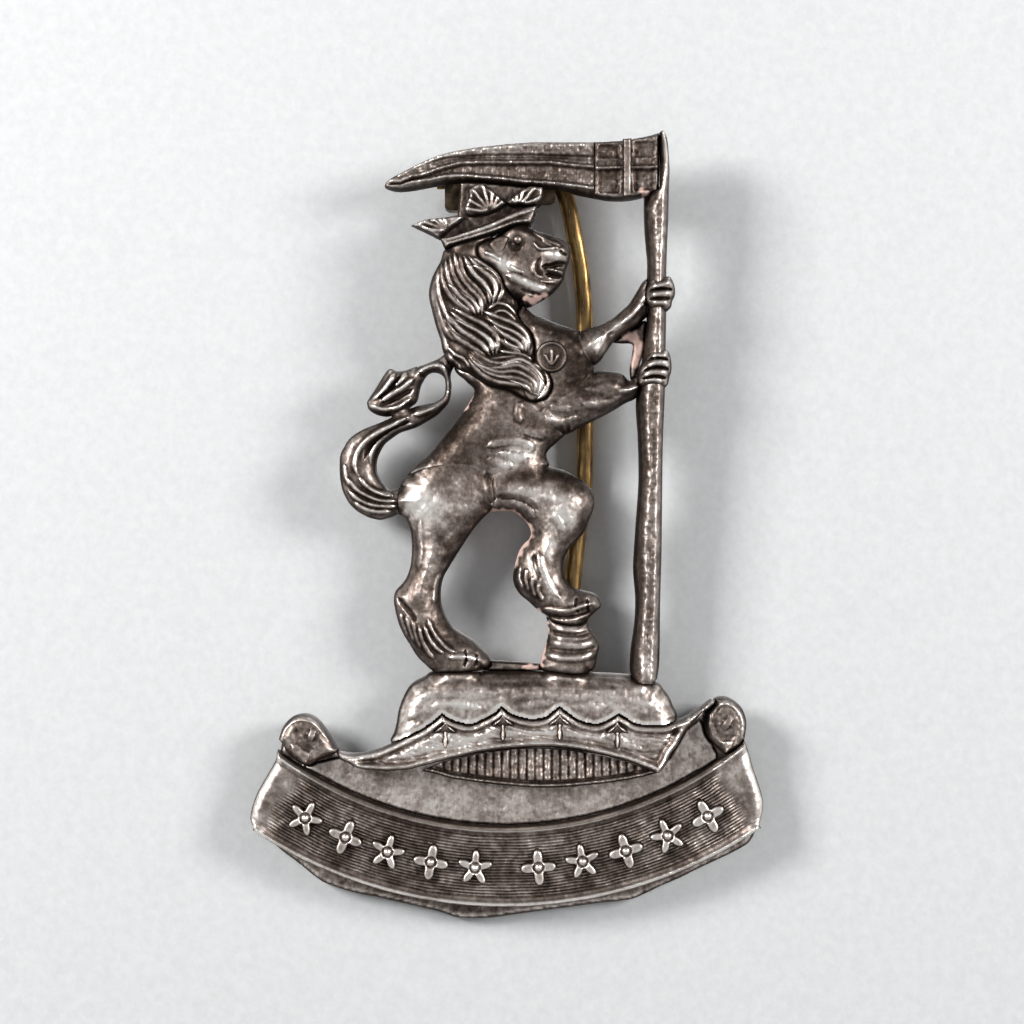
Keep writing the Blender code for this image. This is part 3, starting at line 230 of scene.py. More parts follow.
    "cap_lens": [(-6.3, -18.25, C), (-4.7, -17.6), (-3.4, -17.3), (-2.0, -17.0), (-0.4, -16.75),
        (1.3, -16.6), (3.8, -16.65), (6.4, -17.0), (9.0, -17.65), (11.1, -18.4, C), (9.8, -18.75),
        (7.0, -19.2), (3.0, -19.5), (-0.4, -19.3), (-3.9, -18.85), (-5.0, -18.55)],
    "scroll_base": [(-16.8, -16.2), (-17.1, -17.5), (-17.8, -18.7), (-18.5, -19.95), (-18.95, -21.1),
        (-19.12, -22.0), (-18.7, -22.8), (-17.8, -23.5), (-16.7, -24.45), (-15.5, -25.35), (-14.2, -26.4),
        (-13.3, -26.9), (-11.55, -27.45), (-9.6, -27.85), (-7.65, -28.3), (-5.1, -28.9), (-3.9, -29.3),
        (-2.8, -29.4), (-1.2, -29.35), (1.0, -29.05), (3.2, -28.75), (5.1, -28.5), (7.0, -28.25),
        (9.2, -28.0), (10.35, -27.55), (11.5, -27.0), (13.0, -26.35), (14.5, -25.6), (16.0, -24.9),
        (17.5, -24.15), (18.2, -23.6), (18.8, -22.4), (19.12, -21.3), (19.1, -20.4), (18.75, -19.3),
        (18.25, -18.0), (17.95, -16.9), (17.5, -15.8), (16.9, -14.0), (15.9, -13.1), (15.0, -13.2),
        (14.2, -14.1), (12.9, -16.0), (11.7, -17.9), (9.0, -17.6), (4.0, -16.6), (0.0, -16.7),
        (-4.8, -17.6), (-9.0, -18.2), (-11.6, -17.8), (-12.6, -16.9), (-13.6, -15.4), (-15.1, -14.4),
        (-16.3, -14.9)],
    "scroll_field": arc(FIELD_RADIUS, -33.0, 34.5, 16) + [(15.4, -16.4, C), (14.65, -14.8),
        (14.3, -14.4, C), (13.3, -15.2), (12.5, -16.5), (11.6, -17.6), (9.0, -17.4), (4.0, -16.4),
        (0.0, -16.5), (-4.8, -17.3), (-9.0, -18.0), (-11.5, -17.6), (-12.4, -17.2, C), (-14.0, -17.6, C)],
    "scroll_curl_left": [(-16.95, -16.2), (-16.9, -15.6), (-16.6, -14.9), (-16.0, -14.3), (-15.3, -14.05),
        (-14.6, -14.1), (-14.0, -14.5), (-13.5, -15.1), (-13.1, -15.7), (-12.75, -16.3), (-12.5, -16.8),
        (-13.0, -17.1), (-14.0, -17.5), (-14.8, -17.9), (-15.6, -17.6), (-16.4, -16.9)],
    "scroll_curl_right": [(14.6, -14.2), (14.9, -13.4), (15.4, -12.95), (15.8, -12.75), (16.3, -12.75),
        (16.9, -13.05), (17.4, -13.5), (17.7, -14.05), (17.85, -14.8), (17.75, -15.6), (17.6, -16.3),
        (17.2, -16.9), (16.6, -17.2), (16.0, -16.9), (15.3, -16.2), (14.8, -15.5)],
}
RIBBON_LEFT = [
    (-17.0, -16.0), (-17.2, -17.4), (-17.9, -18.7), (-18.6, -19.95), (-19.0, -21.1), (-19.1, -21.9),
    (-18.8, -22.5),
]
RIBBON_RIGHT = [(17.65, -16.0), (18.0, -16.9), (18.3, -18.0), (18.75, -19.3), (19.05, -20.4), (19.05, -21.3),
                (18.75, -22.3)]
RIBBON_SHAPE = through(arc(RIBBON_OUTER, -32.5, 34.0, 16) + RIBBON_RIGHT[::-1] + [(17.3, -16.4)]
                       + arc(RIBBON_INNER, 36.0, -34.5, 16) + RIBBON_LEFT)
SHAPES = {name: through(points) for name, points in OUTLINES.items()}
SHAPES["scroll_ribbon"] = RIBBON_SHAPE
# top of each piece that reaches the back plane, for the hollow behind it
GROUND_TOPS = {
    "blade": 1.5, "blade_socket": 1.5, "staff": 2.7, "head": 3.2, "mane": 2.95, "torso": 3.1,
    "foreleg_upper": 2.5, "foreleg_lower": 2.6, "hind_leg_standing": 3.0, "hind_leg_raised": 2.8,
    "stump": 2.8, "tail": 2.3, "tail_tuft": 2.5, "cap_cushion": 2.9, "crown_web": 1.25, "paw_web": 1.0,
    "ground_bar": 1.1, "scroll_base": 1.25,
}


def spans(line, closed=True):
    """The starts and ends of a line's spans."""
    end = np.roll(line, -1, axis=0)
    return (line, end) if closed else (line[:-1], end[:-1])


def nearest(points, starts, ends):
    """For each point: distance to the nearest span, and how far along the whole line it falls (0 to 1)."""
    span = ends - starts
    length = np.linalg.norm(span, axis=1)
    reached = np.concatenate(([0.0], np.cumsum(length)))
    best = np.full(len(points), 1e3)
    along = np.zeros(len(points))
    if len(starts) == 0:
        return best, along
    for first in range(0, len(points), 4000):
        part = slice(first, first + 4000)
        away = points[part, None, :] - starts[None]
        share = np.clip((away * span).sum(2) / np.maximum(length ** 2, 1e-12), 0, 1)
        gap = ((away - share[..., None] * span) ** 2).sum(2)
        pick = gap.argmin(1)
        rows = np.arange(len(pick))
        best[part] = np.sqrt(gap[rows, pick])
        along[part] = (reached[pick] + share[rows, pick] * length[pick]) / reached[-1]
    return best, along


def contains(points, outline):
    """Which points are inside the closed outline."""
    inside = np.zeros(len(points), bool)
    near = ((points >= outline.min(0)) & (points <= outline.max(0))).all(1)
    x, z = points[near].T
    within = np.zeros(len(x), bool)
    for (ax, az), (bx, bz) in zip(*spans(outline)):
        if az != bz:
            within ^= ((az > z) != (bz > z)) & (x < (bx - ax) * (z - az) / (bz - az) + ax)
    inside[near] = within
    return inside


# ---------------------------------------------------------------- relief helpers

def smoothstep(low, high, value):
    t = np.clip((value - low) / (high - low), 0, 1)
    return t * t * (3 - 2 * t)


def noise(points, scale, seed=0):
    """Smooth value noise between -1 and 1 with features of the given size."""
    table = np.random.default_rng(seed).uniform(-1, 1, (64, 64))
    cell = points / scale + 1000
    base = np.floor(cell).astype(int)
    part = smoothstep(0, 1, cell - base)
    i, j = base[:, 0] % 64, base[:, 1] % 64
    i2, j2 = (i + 1) % 64, (j + 1) % 64
    low = table[i, j] * (1 - part[:, 0]) + table[i2, j] * part[:, 0]
    high = table[i, j2] * (1 - part[:, 0]) + table[i2, j2] * part[:, 0]
    return low * (1 - part[:, 1]) + high * part[:, 1]


def rounded(d, width, power=2.0):
    """Rises from 0 at the edge to 1 at the given width, steep first and then level."""
    return (1 - (1 - np.clip(d / width, 0, 1)) ** power) ** (1 / power)


def ridge(points, line, half_width, height, taper=0.12):
    """A raised (or sunk) rounded line, narrowing at both ends."""
    made = np.zeros(len(points))
    near = ((points >= line.min(0) - half_width) & (points <= line.max(0) + half_width)).all(1)
    if not near.any():
        return made
    d, along = nearest(points[near], *spans(line, closed=False))
    ends = np.ones(len(d))
    if taper:
        ends = np.clip(np.minimum(along, 1 - along) / taper, 0.1, 1) ** 0.6
    made[near] = height * np.clip(1 - (d / (half_width * ends)) ** 2, 0, 1) ** 1.3 * np.sqrt(ends)
    return made


def strokes(points, table):
    """All ridges of a table of (half width, height, points); the tallest or deepest wins."""
    made = np.zeros(len(points))
    for half_width, height, line in table:
        part = ridge(points, through(line, 0.15, closed=False), half_width, height)
        made = np.where(np.abs(part) > np.abs(made), part, made)
    return made


def bulges(points, table):
    """Soft elliptical swellings, a table of (centre, radii, degrees, height)."""
    made = np.zeros(len(points))
    for (x, z), (long, short), degrees, height in table:
        turn = math.radians(degrees)
        dx, dz = points[:, 0] - x, points[:, 1] - z
        u = (dx * math.cos(turn) + dz * math.sin(turn)) / long
        v = (-dx * math.sin(turn) + dz * math.cos(turn)) / short
        made += height * np.exp(-(u * u + v * v) * 1.3)
    return made


def along_z(points, line):
    """The X of a line of (z, x) points at each point's height."""
    z, x = zip(*sorted(line))
    return np.interp(points[:, 1], z, x)


def along_x(points, line):
    """The Z of a line of (x, z) points at each point's X."""
    x, z = zip(*sorted(line))
    return np.interp(points[:, 0], x, z)


# ---------------------------------------------------------------- materials

def node(tree, kind, inputs=None, **settings):
    made = tree.nodes.new(kind)
    for key, value in settings.items():
        setattr(made, key, value)
    for key, value in (inputs or {}).items():
        if isinstance(value, bpy.types.NodeSocket):
            tree.links.new(value, made.inputs[key])
        else:
            made.inputs[key].default_value = value
    return made


def ramp(tree, factor, stops):
    made = node(tree, "ShaderNodeValToRGB", {"Fac": factor})
    elements = made.color_ramp.elements
    while len(elements) < len(stops):
        elements.new(0.5)
    for element, (place, color) in zip(elements, stops):
        element.position = place
        element.color = (*color, 1.0)
    return made.outputs["Color"]


def math_node(tree, operation, first, second=0.0, clamp=False):
    made = node(tree, "ShaderNodeMath", {0: first, 1: second}, operation=operation)
    made.use_clamp = clamp
    return made.outputs[0]


def shifted(tree, value, gain, offset):
    """value * gain + offset."""
    made = math_node(tree, "MULTIPLY_ADD", value, gain)
    made.node.inputs[2].default_value = offset
    return made


def noise_texture(tree, place, scale, detail, roughness=0.5):
    made = node(tree, "ShaderNodeTexNoise",
                {"Vector": place, "Scale": scale, "Detail": detail, "Roughness": roughness})
    return made.outputs["Fac"]


def add_bump(tree, shader, height, strength, distance):
    bump = node(tree, "ShaderNodeBump", {"Height": height, "Strength": strength, "Distance": distance})
    tree.links.new(bump.outputs["Normal"], shader.inputs["Normal"])


def silver_material():
    """Oxidised white metal: dark in the recesses, rubbed on the ridges, pitted and finely scratched, with
    painted highlights and painted shade in its tone.
    """
    made = bpy.data.materials.new("oxidised_silver")
    made.use_nodes = True
    tree = made.node_tree
    shader = tree.nodes["Principled BSDF"]
    place = node(tree, "ShaderNodeTexCoord").outputs["Object"]
    # tone per point: patina and wear together with painted highlights and painted shade
    wear_and_painted_light = node(tree, "ShaderNodeAttribute", attribute_name="wear_and_painted_light").outputs["Fac"]
    pink = node(tree, "ShaderNodeAttribute", attribute_name="pink").outputs["Fac"]
    mottle = noise_texture(tree, place, 1100.0, 6.0, 0.68)
    speck = noise_texture(tree, place, 6200.0, 3.0, 0.7)
    broad = noise_texture(tree, place, 260.0, 3.0)
    turned = node(tree, "ShaderNodeMapping",
                  {"Vector": place, "Rotation": (0.0, 0.9, 0.0), "Scale": (1.0, 1.0, 0.3)})
    scratch = noise_texture(tree, turned.outputs[0], 5200.0, 2.0)
    tone = math_node(tree, "ADD", wear_and_painted_light, shifted(tree, mottle, 0.90, -0.45))
    tone = math_node(tree, "ADD", tone, shifted(tree, speck, 0.34, -0.17))
    tone = math_node(tree, "ADD", tone, shifted(tree, scratch, 0.20, -0.10))
    tone = math_node(tree, "ADD", tone, shifted(tree, broad, 0.44, -0.22), clamp=True)
    color = ramp(tree, tone, ((0.0, (0.026, 0.018, 0.014)), (0.25, (0.075, 0.055, 0.045)),
                              (0.45, (0.185, 0.148, 0.128)), (0.62, (0.35, 0.296, 0.266)),
                              (0.80, (0.66, 0.59, 0.54)), (1.0, (0.94, 0.89, 0.84))))
    edge_color = node(tree, "ShaderNodeMix", {"Factor": pink, "A": color, "B": (0.72, 0.50, 0.43, 1.0)},
                      data_type="RGBA")
    tree.links.new(edge_color.outputs["Result"], shader.inputs["Base Color"])
    tree.links.new(shifted(tree, pink, -0.75, 1.0), shader.inputs["Metallic"])
    rough = ramp(tree, tone, ((0.0, (0.66,) * 3), (0.5, (0.49,) * 3), (1.0, (0.36,) * 3)))
    tree.links.new(rough, shader.inputs["Roughness"])
    pits = node(tree, "ShaderNodeTexVoronoi", {"Vector": place, "Scale": 3600.0})
    dents = math_node(tree, "SMOOTH_MIN", pits.outputs["Distance"], 0.28)
    dents.node.inputs[2].default_value = 0.1
    surface = math_node(tree, "ADD", mottle, dents)
    add_bump(tree, shader, surface, 0.30, 0.00005)
    return made


def brass_material():
    """Toned brass wire with fine draw lines."""
    made = bpy.data.materials.new("pin_brass")
    made.use_nodes = True
    tree = made.node_tree
    shader = tree.nodes["Principled BSDF"]
    place = node(tree, "ShaderNodeTexCoord").outputs["Object"]
    stretch = node(tree, "ShaderNodeMapping", {"Vector": place, "Scale": (1.0, 1.0, 0.12)})
    lines = noise_texture(tree, stretch.outputs[0], 5200.0, 3.0)
    cloud = noise_texture(tree, place, 420.0, 4.0, 0.6)
    tone = math_node(tree, "ADD", math_node(tree, "MULTIPLY", lines, 0.45),
                     math_node(tree, "MULTIPLY", cloud, 0.55))
    color = ramp(tree, tone, ((0.32, (0.06, 0.037, 0.018)), (0.48, (0.21, 0.128, 0.052)),
                              (0.60, (0.42, 0.27, 0.105)), (0.74, (0.74, 0.53, 0.24))))
    tree.links.new(color, shader.inputs["Base Color"])
    shader.inputs["Metallic"].default_value = 1.0
    rough = ramp(tree, tone, ((0.3, (0.5,) * 3), (0.7, (0.26,) * 3)))
    tree.links.new(rough, shader.inputs["Roughness"])
    add_bump(tree, shader, lines, 0.2, 0.00003)
    return made


def bronze_material():
    """The lugs' dull dark bronze."""
    made = bpy.data.materials.new("lug_bronze")
    made.use_nodes = True
    tree = made.node_tree
    shader = tree.nodes["Principled BSDF"]
    place = node(tree, "ShaderNodeTexCoord").outputs["Object"]
    cloud = noise_texture(tree, place, 900.0, 5.0, 0.6)
    color = ramp(tree, cloud, ((0.35, (0.022, 0.017, 0.012)), (0.55, (0.075, 0.055, 0.036)),
                                              (0.72, (0.20, 0.15, 0.09))))
    tree.links.new(color, shader.inputs["Base Color"])
    shader.inputs["Metallic"].default_value = 1.0
    rough = ramp(tree, cloud, ((0.3, (0.6,) * 3), (0.7, (0.38,) * 3)))
    tree.links.new(rough, shader.inputs["Roughness"])
    add_bump(tree, shader, cloud, 0.3, 0.00006)
    return made


SILVER = silver_material()
BRASS = brass_material()
BRONZE = bronze_material()


# ---------------------------------------------------------------- struck pieces

def hollow_back():
    """The depth of the hollow back on a coarse grid: (low corner, depths)."""
    low = np.array((-20.0, -30.0))
    columns, rows = 161, 241
    grid = np.stack(np.meshgrid(np.arange(columns), np.arange(rows), indexing="ij"), -1).reshape(-1, 2)
    centres = low + grid * BACK_CELL
    top = np.zeros(len(centres))
    for name, height in GROUND_TOPS.items():
        inside = contains(centres, SHAPES[name])
        top[inside] = np.maximum(top[inside], height)
    solid = (top > 0).reshape(columns, rows)
    beside = np.zeros_like(solid)
    for axis in (0, 1):
        for shift in (1, -1):
            beside |= np.roll(solid, shift, axis)
    edge = centres[(beside & ~solid).ravel()]
    distance = np.zeros(len(centres))
    inner = solid.ravel()
    distance[inner] = [np.sqrt(((edge - c) ** 2).sum(1).min()) for c in centres[inner]]
    depth = top.reshape(columns, rows)
    for _ in range(4):
        total = sum(np.roll(depth * solid, s, a) for a in (0, 1) for s in (1, -1)) + depth * solid
        count = sum(np.roll(solid.astype(float), s, a) for a in (0, 1) for s in (1, -1)) + solid
        depth = np.where(solid, total / np.maximum(count, 1), 0)
    depth = np.clip(depth - SHELL, 0, None)
    depth *= smoothstep(RIM, RIM + 0.9, distance.reshape(columns, rows) - BACK_CELL / 2)
    return low, depth


BACK_LOW, BACK_DEPTH = hollow_back()


def back_depth(points):
    """The hollow back's depth at each point."""
    cell = (points - BACK_LOW) / BACK_CELL
    base = np.floor(cell).astype(int)
    part = cell - base
    i, j = base.T
    low = BACK_DEPTH[i, j] * (1 - part[:, 0]) + BACK_DEPTH[i + 1, j] * part[:, 0]
    high = BACK_DEPTH[i, j + 1] * (1 - part[:, 0]) + BACK_DEPTH[i + 1, j + 1] * part[:, 0]
    return low * (1 - part[:, 1]) + high * part[:, 1]


def triangulated(outline, cutters, spacing):
    """Triangles over the outline less its cutters: points and faces, seen from the face."""
    low, high = outline.min(0), outline.max(0)
    rows = np.arange(low[1], high[1], spacing * 0.866)
    grid = np.array([(x, z) for r, z in enumerate(rows)
                     for x in np.arange(low[0] + (r % 2) * spacing / 2, high[0], spacing)])
    grid = grid[contains(grid, outline)]
    lines = [outline] + cutters
    for cutter in cutters:
        grid = grid[~contains(grid, cutter)]
    for line in lines:
        grid = grid[nearest(grid, *spans(line))[0] > spacing * 0.6]
    points = np.vstack(lines + [grid])
    edges = []
    first = 0
    for line in lines:
        count = len(line)
        edges += [(first + i, first + (i + 1) % count) for i in range(count)]
        first += count
    out = delaunay_2d_cdt([Vector(p) for p in points], edges, [], 0, WELD, False)
    verts = np.array([(v.x, v.y) for v in out[0]])
    faces = np.array(out[2], int)
    middle = verts[faces].mean(1)
    keep = contains(middle, outline)
    for cutter in cutters:
        keep &= ~contains(middle, cutter)
    a, b, c = (verts[faces[:, k]] for k in range(3))
    area = ((b - a)[:, 0] * (c - a)[:, 1] - (b - a)[:, 1] * (c - a)[:, 0]) / 2
    faces[area < 0] = faces[area < 0][:, ::-1]
    keep &= np.abs(area) > 1e-7
    return without_scraps(verts, faces[keep], np.abs(area[keep]))


def without_scraps(verts, faces, area):
    """Drops unused points and loose scraps of faces."""
    label = np.arange(len(verts))
    while True:
        lowest = label[faces].min(1)
        fresh = label.copy()
        np.minimum.at(fresh, faces.ravel(), np.repeat(lowest, 3))
        fresh = fresh[fresh]
        if (fresh == label).all():
            break
        label = fresh
    total = np.bincount(label[faces[:, 0]], area, len(verts))
    faces = faces[total[label[faces[:, 0]]] > SMALLEST_ISLAND]
    used = np.unique(faces)
    fresh = np.zeros(len(verts), int)
    fresh[used] = np.arange(len(used))
    return verts[used], fresh[faces]


def border(faces):
    """The directed sides that only one face has."""
    sides = np.vstack((faces[:, [0, 1]], faces[:, [1, 2]], faces[:, [2, 0]]))
    known = set(map(tuple, sides.tolist()))
    return np.array([(a, b) for a, b in sides.tolist() if (b, a) not in known])


def averaged(values, faces, rounds):
    """Values smoothed over the mesh."""
    a = np.concatenate((faces[:, 0], faces[:, 1], faces[:, 2]))
    b = np.concatenate((faces[:, 1], faces[:, 2], faces[:, 0]))
    count = np.bincount(a, minlength=len(values)) + np.bincount(b, minlength=len(values))
    made = values.copy()
    for _ in range(rounds):
        total = np.bincount(a, made[b], len(values)) + np.bincount(b, made[a], len(values))
        made = 0.5 * made + 0.5 * total / np.maximum(count, 1)
    return made


def steepness(verts, height, faces):
    """How steep the surface is at each point, from 0 flat to 1 upright."""
    corner = np.column_stack((verts, height))
    p, q, r = (corner[faces[:, k]] for k in range(3))
    normal = np.cross(q - p, r - p)
    total = np.zeros((len(verts), 3))
    for k in range(3):
        np.add.at(total, faces[:, k], normal)
    return 1 - np.abs(total[:, 2]) / np.maximum(np.linalg.norm(total, axis=1), 1e-9)


def outward_probes(starts, ends, reach):
    """Points just outside each span of a border that runs with its inside on the left."""
    span = ends - starts
    length = np.maximum(np.linalg.norm(span, axis=1), 1e-9)[:, None]
    return (starts + ends) / 2 + np.column_stack((span[:, 1], -span[:, 0])) / length * reach


def silhouette():
    """The spans of all relief pieces' outlines that no other relief piece covers."""
    starts, ends = [], []
    for name in RELIEF_PIECES:
        outline = SHAPES[name]
        after = np.roll(outline, -1, axis=0)
        if (outline[:, 0] * after[:, 1] - after[:, 0] * outline[:, 1]).sum() < 0:
            outline = outline[::-1]
        first, last = spans(outline)
        free = np.ones(len(first), bool)
        probes = outward_probes(first, last, PROBE_REACH)
        for other in RELIEF_PIECES:
            if other != name:
                free &= ~contains(probes, SHAPES[other])
        starts.append(first[free])
        ends.append(last[free])
    return np.vstack(starts), np.vstack(ends)


RELIEF_PIECES = ["blade", "blade_socket", "staff", "crown_band", "crown_web", "head", "mane", "torso",
                 "foreleg_upper", "foreleg_lower", "paw_upper", "paw_lower", "hind_leg_standing",
                 "hind_leg_raised", "stump", "tail", "tail_tuft", "cap_cushion", "cap_brim"]
OUTER_EDGE = silhouette()


def edges_of(name, verts, sides, stacked, joined):
    """The spans that round a piece off, and those where it meets a neighbour it isn't joined to."""
    starts, ends = verts[sides[:, 0]], verts[sides[:, 1]]
    if stacked:
        return (starts, ends), (starts[:0], ends[:0])
    probes = outward_probes(starts, ends, PROBE_REACH)
    shared = np.zeros(len(probes), bool)
    for other in RELIEF_PIECES:
        if other != name and other not in joined:
            shared |= contains(probes, SHAPES[other])
    low, high = verts.min(0) - NEIGHBOUR_REACH, verts.max(0) + NEIGHBOUR_REACH
    close = ((OUTER_EDGE[0] > low) & (OUTER_EDGE[0] < high)).all(1)
    return (OUTER_EDGE[0][close], OUTER_EDGE[1][close]), (starts[shared], ends[shared])


def shell_mesh(name, verts, faces, height, floor, wear_and_painted_light, pinkness):
    """A closed mesh: the relief face, a back that follows it and the wall between them."""
    sides = border(faces)
    back_y = np.minimum(floor + (back_depth(verts) if np.max(floor) == 0 else 0.0), height - 0.2)
    count = len(verts)
    y = -np.concatenate((height, back_y))
    x = np.tile(verts[:, 0], 2)
    z = np.tile(verts[:, 1], 2)
    all_faces = np.vstack((faces, faces[:, ::-1] + count)).tolist()
    all_faces += [(b, a, a + count, b + count) for a, b in sides.tolist()]
    mesh = bpy.data.meshes.new(name)
    mesh.from_pydata((np.column_stack((x, y, z)) * MM).tolist(), [], all_faces)
    mesh.update()
    mesh.shade_smooth()
    mesh.set_sharp_from_angle(angle=math.radians(65))
    back_wear = 0.30 + 0.08 * noise(verts, 1.1, 5)
    # the front's tone carries patina and wear with painted highlights and painted shade
    for label, front, back in (("wear_and_painted_light", wear_and_painted_light, back_wear), ("pink", pinkness, np.zeros(count))):
        attribute = mesh.attributes.new(label, "FLOAT", "POINT")
        attribute.data.foreach_set("value", np.concatenate((front, back)).astype(np.float32))
    return mesh


def struck(name, relief, cutters=(), spacing=0.1, floor=0.0, tone=0.0, gain=5.5, pink=(), stacked=False,
           joined=()):
    """A struck piece, cut by the cutters. relief(points, d, seam) gives its heights.

    d is the distance to the badge's silhouette, or to the piece's own edge if it is stacked or has a floor;
    seam is the distance to the neighbours that it isn't joined to.
    """
    verts, faces = triangulated(SHAPES[name], [SHAPES[c] for c in cutters], spacing)
    outer, inner = edges_of(name, verts, border(faces), stacked or floor > 0, joined)
    d = nearest(verts, *outer)[0]
    seam = nearest(verts, *inner)[0]
    height = relief(verts, d, seam)
    near = averaged(height, faces, max(5, int(RELIEF_REACH / spacing)))
    # tone: patina and wear from the relief, plus the patches of rubbed wear, painted highlight and painted
    # shade
    wear_and_painted_light = BASE_WEAR + tone + (height - near) * gain + WEAR_AND_PAINTED_LIGHT_GAIN * bulges(verts, WEAR_AND_PAINTED_LIGHT_PATCHES)
    # painted shade: steep flanks and side walls are darkened in the colour
    wear_and_painted_light -= 0.6 * np.clip(steepness(verts, height, faces) - 0.12, 0, 1)
    wear_and_painted_light -= 0.12 * (1 - smoothstep(0.0, 0.25, seam))
    wear_and_painted_light = np.clip(averaged(wear_and_painted_light, faces, 1), 0.02, 0.98)
    pinkness = np.zeros(len(verts))
    for half_width, line in pink:
        away = (nearest(verts, *spans(through(line, closed=False), closed=False))[0]
                + 0.15 * noise(verts, 0.3, 8))
        pinkness = np.maximum(pinkness, 1 - smoothstep(half_width * 0.6, half_width * 1.2, away))
    return silver_piece(name, shell_mesh(name, verts, faces, height, floor, wear_and_painted_light, pinkness))


def silver_piece(name, mesh):
    made = bpy.data.objects.new(name, mesh)
    bpy.context.collection.objects.link(made)
    made.data.materials.append(SILVER)
    return placed(made, name, "badge")


def placed(made, name, body):
    """Rides the piece on its body in place of its CAD node."""
    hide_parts(name)
    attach(made, body)
    return made


# ---------------------------------------------------------------- the lion's relief

# broad patches of rubbed wear mixed with painted highlights and painted shade of the body's form: (centre,
# radii, degrees, change of tone)
WEAR_AND_PAINTED_LIGHT_PATCHES = [
    ((0.6, 5.3), (2.2, 1.2), 12, 0.26), ((2.6, 2.4), (2.2, 1.2), -15, 0.16),
    ((-5.6, 1.4), (2.0, 2.0), 0, 0.12), ((5.6, 10.6), (1.2, 1.4), 0, -0.08),
    ((-5.9, -5.0), (1.2, 3.0), 0, 0.06), ((3.4, -3.0), (1.4, 3.0), 0, 0.08),
    ((-7.0, 2.6), (0.9, 0.9), 0, 0.22), ((-5.6, 1.2), (1.3, 1.6), 10, 0.42),
    ((-7.1, 1.2), (0.7, 1.2), 0, 0.20), ((-3.4, 2.0), (1.6, 1.4), 0, 0.10),
    ((-5.8, -1.8), (0.6, 2.2), 8, 0.14), ((-4.6, -1.4), (0.5, 1.8), 25, -0.12),
    ((-3.0, -9.7), (1.3, 0.5), -8, 0.28), ((-4.5, -5.2), (0.5, 1.2), 0, 0.10),
    ((4.2, 0.6), (1.0, 1.2), 20, 0.42), ((3.2, -1.6), (0.7, 1.1), 0, 0.22),
    ((2.1, -3.1), (0.6, 0.8), 0, 0.30), ((3.2, -4.3), (0.5, 1.1), 25, 0.34),
    ((6.1, -5.6), (0.8, 0.4), -20, 0.28), ((1.7, 3.7), (2.6, 0.7), 5, -0.26),
    ((4.6, 3.3), (1.4, 0.8), -25, -0.24), ((1.2, 2.5), (2.0, 0.5), -8, 0.16),
    ((5.7, -0.1), (0.4, 1.2), 10, -0.18), ((1.1, 5.7), (1.5, 0.6), 0, 0.26),
    ((0.1, 4.4), (1.6, 0.7), 20, 0.30), ((1.2, 6.8), (1.4, 0.5), -10, 0.16),
    ((-3.6, 7.0), (1.1, 2.6), -40, -0.20), ((-0.6, 8.6), (1.6, 1.2), 0, 0.06),
    ((5.4, 10.8), (0.8, 1.6), 0, -0.16), ((3.6, 14.4), (2.2, 0.6), -20, -0.16),
    ((5.0, 12.6), (0.6, 1.6), 10, -0.16), ((7.0, 13.3), (0.7, 1.0), 30, 0.50),
    ((8.4, 14.8), (1.0, 0.4), 40, 0.18), ((3.5, 8.0), (1.2, 0.4), 0, 0.26),
    ((6.2, 9.2), (1.4, 0.4), 5, 0.14), ((8.8, 10.0), (0.9, 0.4), 30, 0.16),
    ((-0.2, 19.3), (1.2, 0.55), -38, 0.46), ((-1.2, 19.9), (0.6, 0.4), -10, 0.20),
    ((1.5, 17.9), (1.5, 0.3), -22, 0.30), ((2.9, 17.4), (0.8, 0.35), 0, 0.36),
    ((3.7, 20.0), (0.75, 0.4), -15, 0.46), ((1.0, 22.0), (1.3, 0.5), 0, -0.26),
    ((0.5, 20.4), (0.8, 0.7), 0, -0.22), ((3.2, 18.8), (0.9, 0.5), 0, -0.26),
    ((2.3, 21.5), (1.6, 0.4), -20, -0.16), ((0.4, 17.1), (0.7, 0.6), 0, -0.30),
    ((-2.4, 20.7), (1.6, 0.5), 15, -0.30), ((-1.2, 13.4), (0.5, 0.8), 20, 0.30),
    ((1.5, 13.4), (0.4, 0.7), 0, 0.20), ((2.3, 10.2), (0.5, 0.8), 20, 0.20),
    ((-0.6, 17.6), (0.4, 1.0), 0, 0.12), ((-2.2, 16.4), (0.5, 0.7), 30, 0.12),
    ((0.0, -11.6), (8.5, 0.6), 0, -0.16), ((-3.0, -13.2), (3.6, 0.7), 0, 0.20),
    ((7.0, -13.2), (3.2, 0.7), 0, 0.14), ((-7.7, -14.4), (0.5, 1.4), 10, 0.12),
    ((-3.5, -16.3), (2.6, 0.6), 8, 0.28), ((2.6, -15.5), (4.0, 0.6), 0, 0.14),
    ((10.8, -16.4), (1.4, 1.2), 0, -0.14), ((-9.8, -17.3), (2.0, 0.5), 0, 0.10),
    ((10.3, -10.2), (0.5, 1.0), 0, 0.24), ((-2.0, 27.9), (5.0, 0.5), 6, 0.06),
    ((3.0, 26.2), (6.0, 0.5), 0, -0.10), ((-3.8, 21.4), (1.0, 0.4), 15, 0.18),
    ((-16.3, -14.6), (0.8, 1.0), 0, -0.10), ((4.0, -21.0), (8.0, 0.8), 0, 0.06),
    ((-9.0, -20.2), (4.0, 0.8), -20, 0.06),
    ((4.9, -9.4), (0.9, 0.9), 0, 0.10), ((-11.0, 4.6), (0.5, 1.6), 0, 0.12),
]
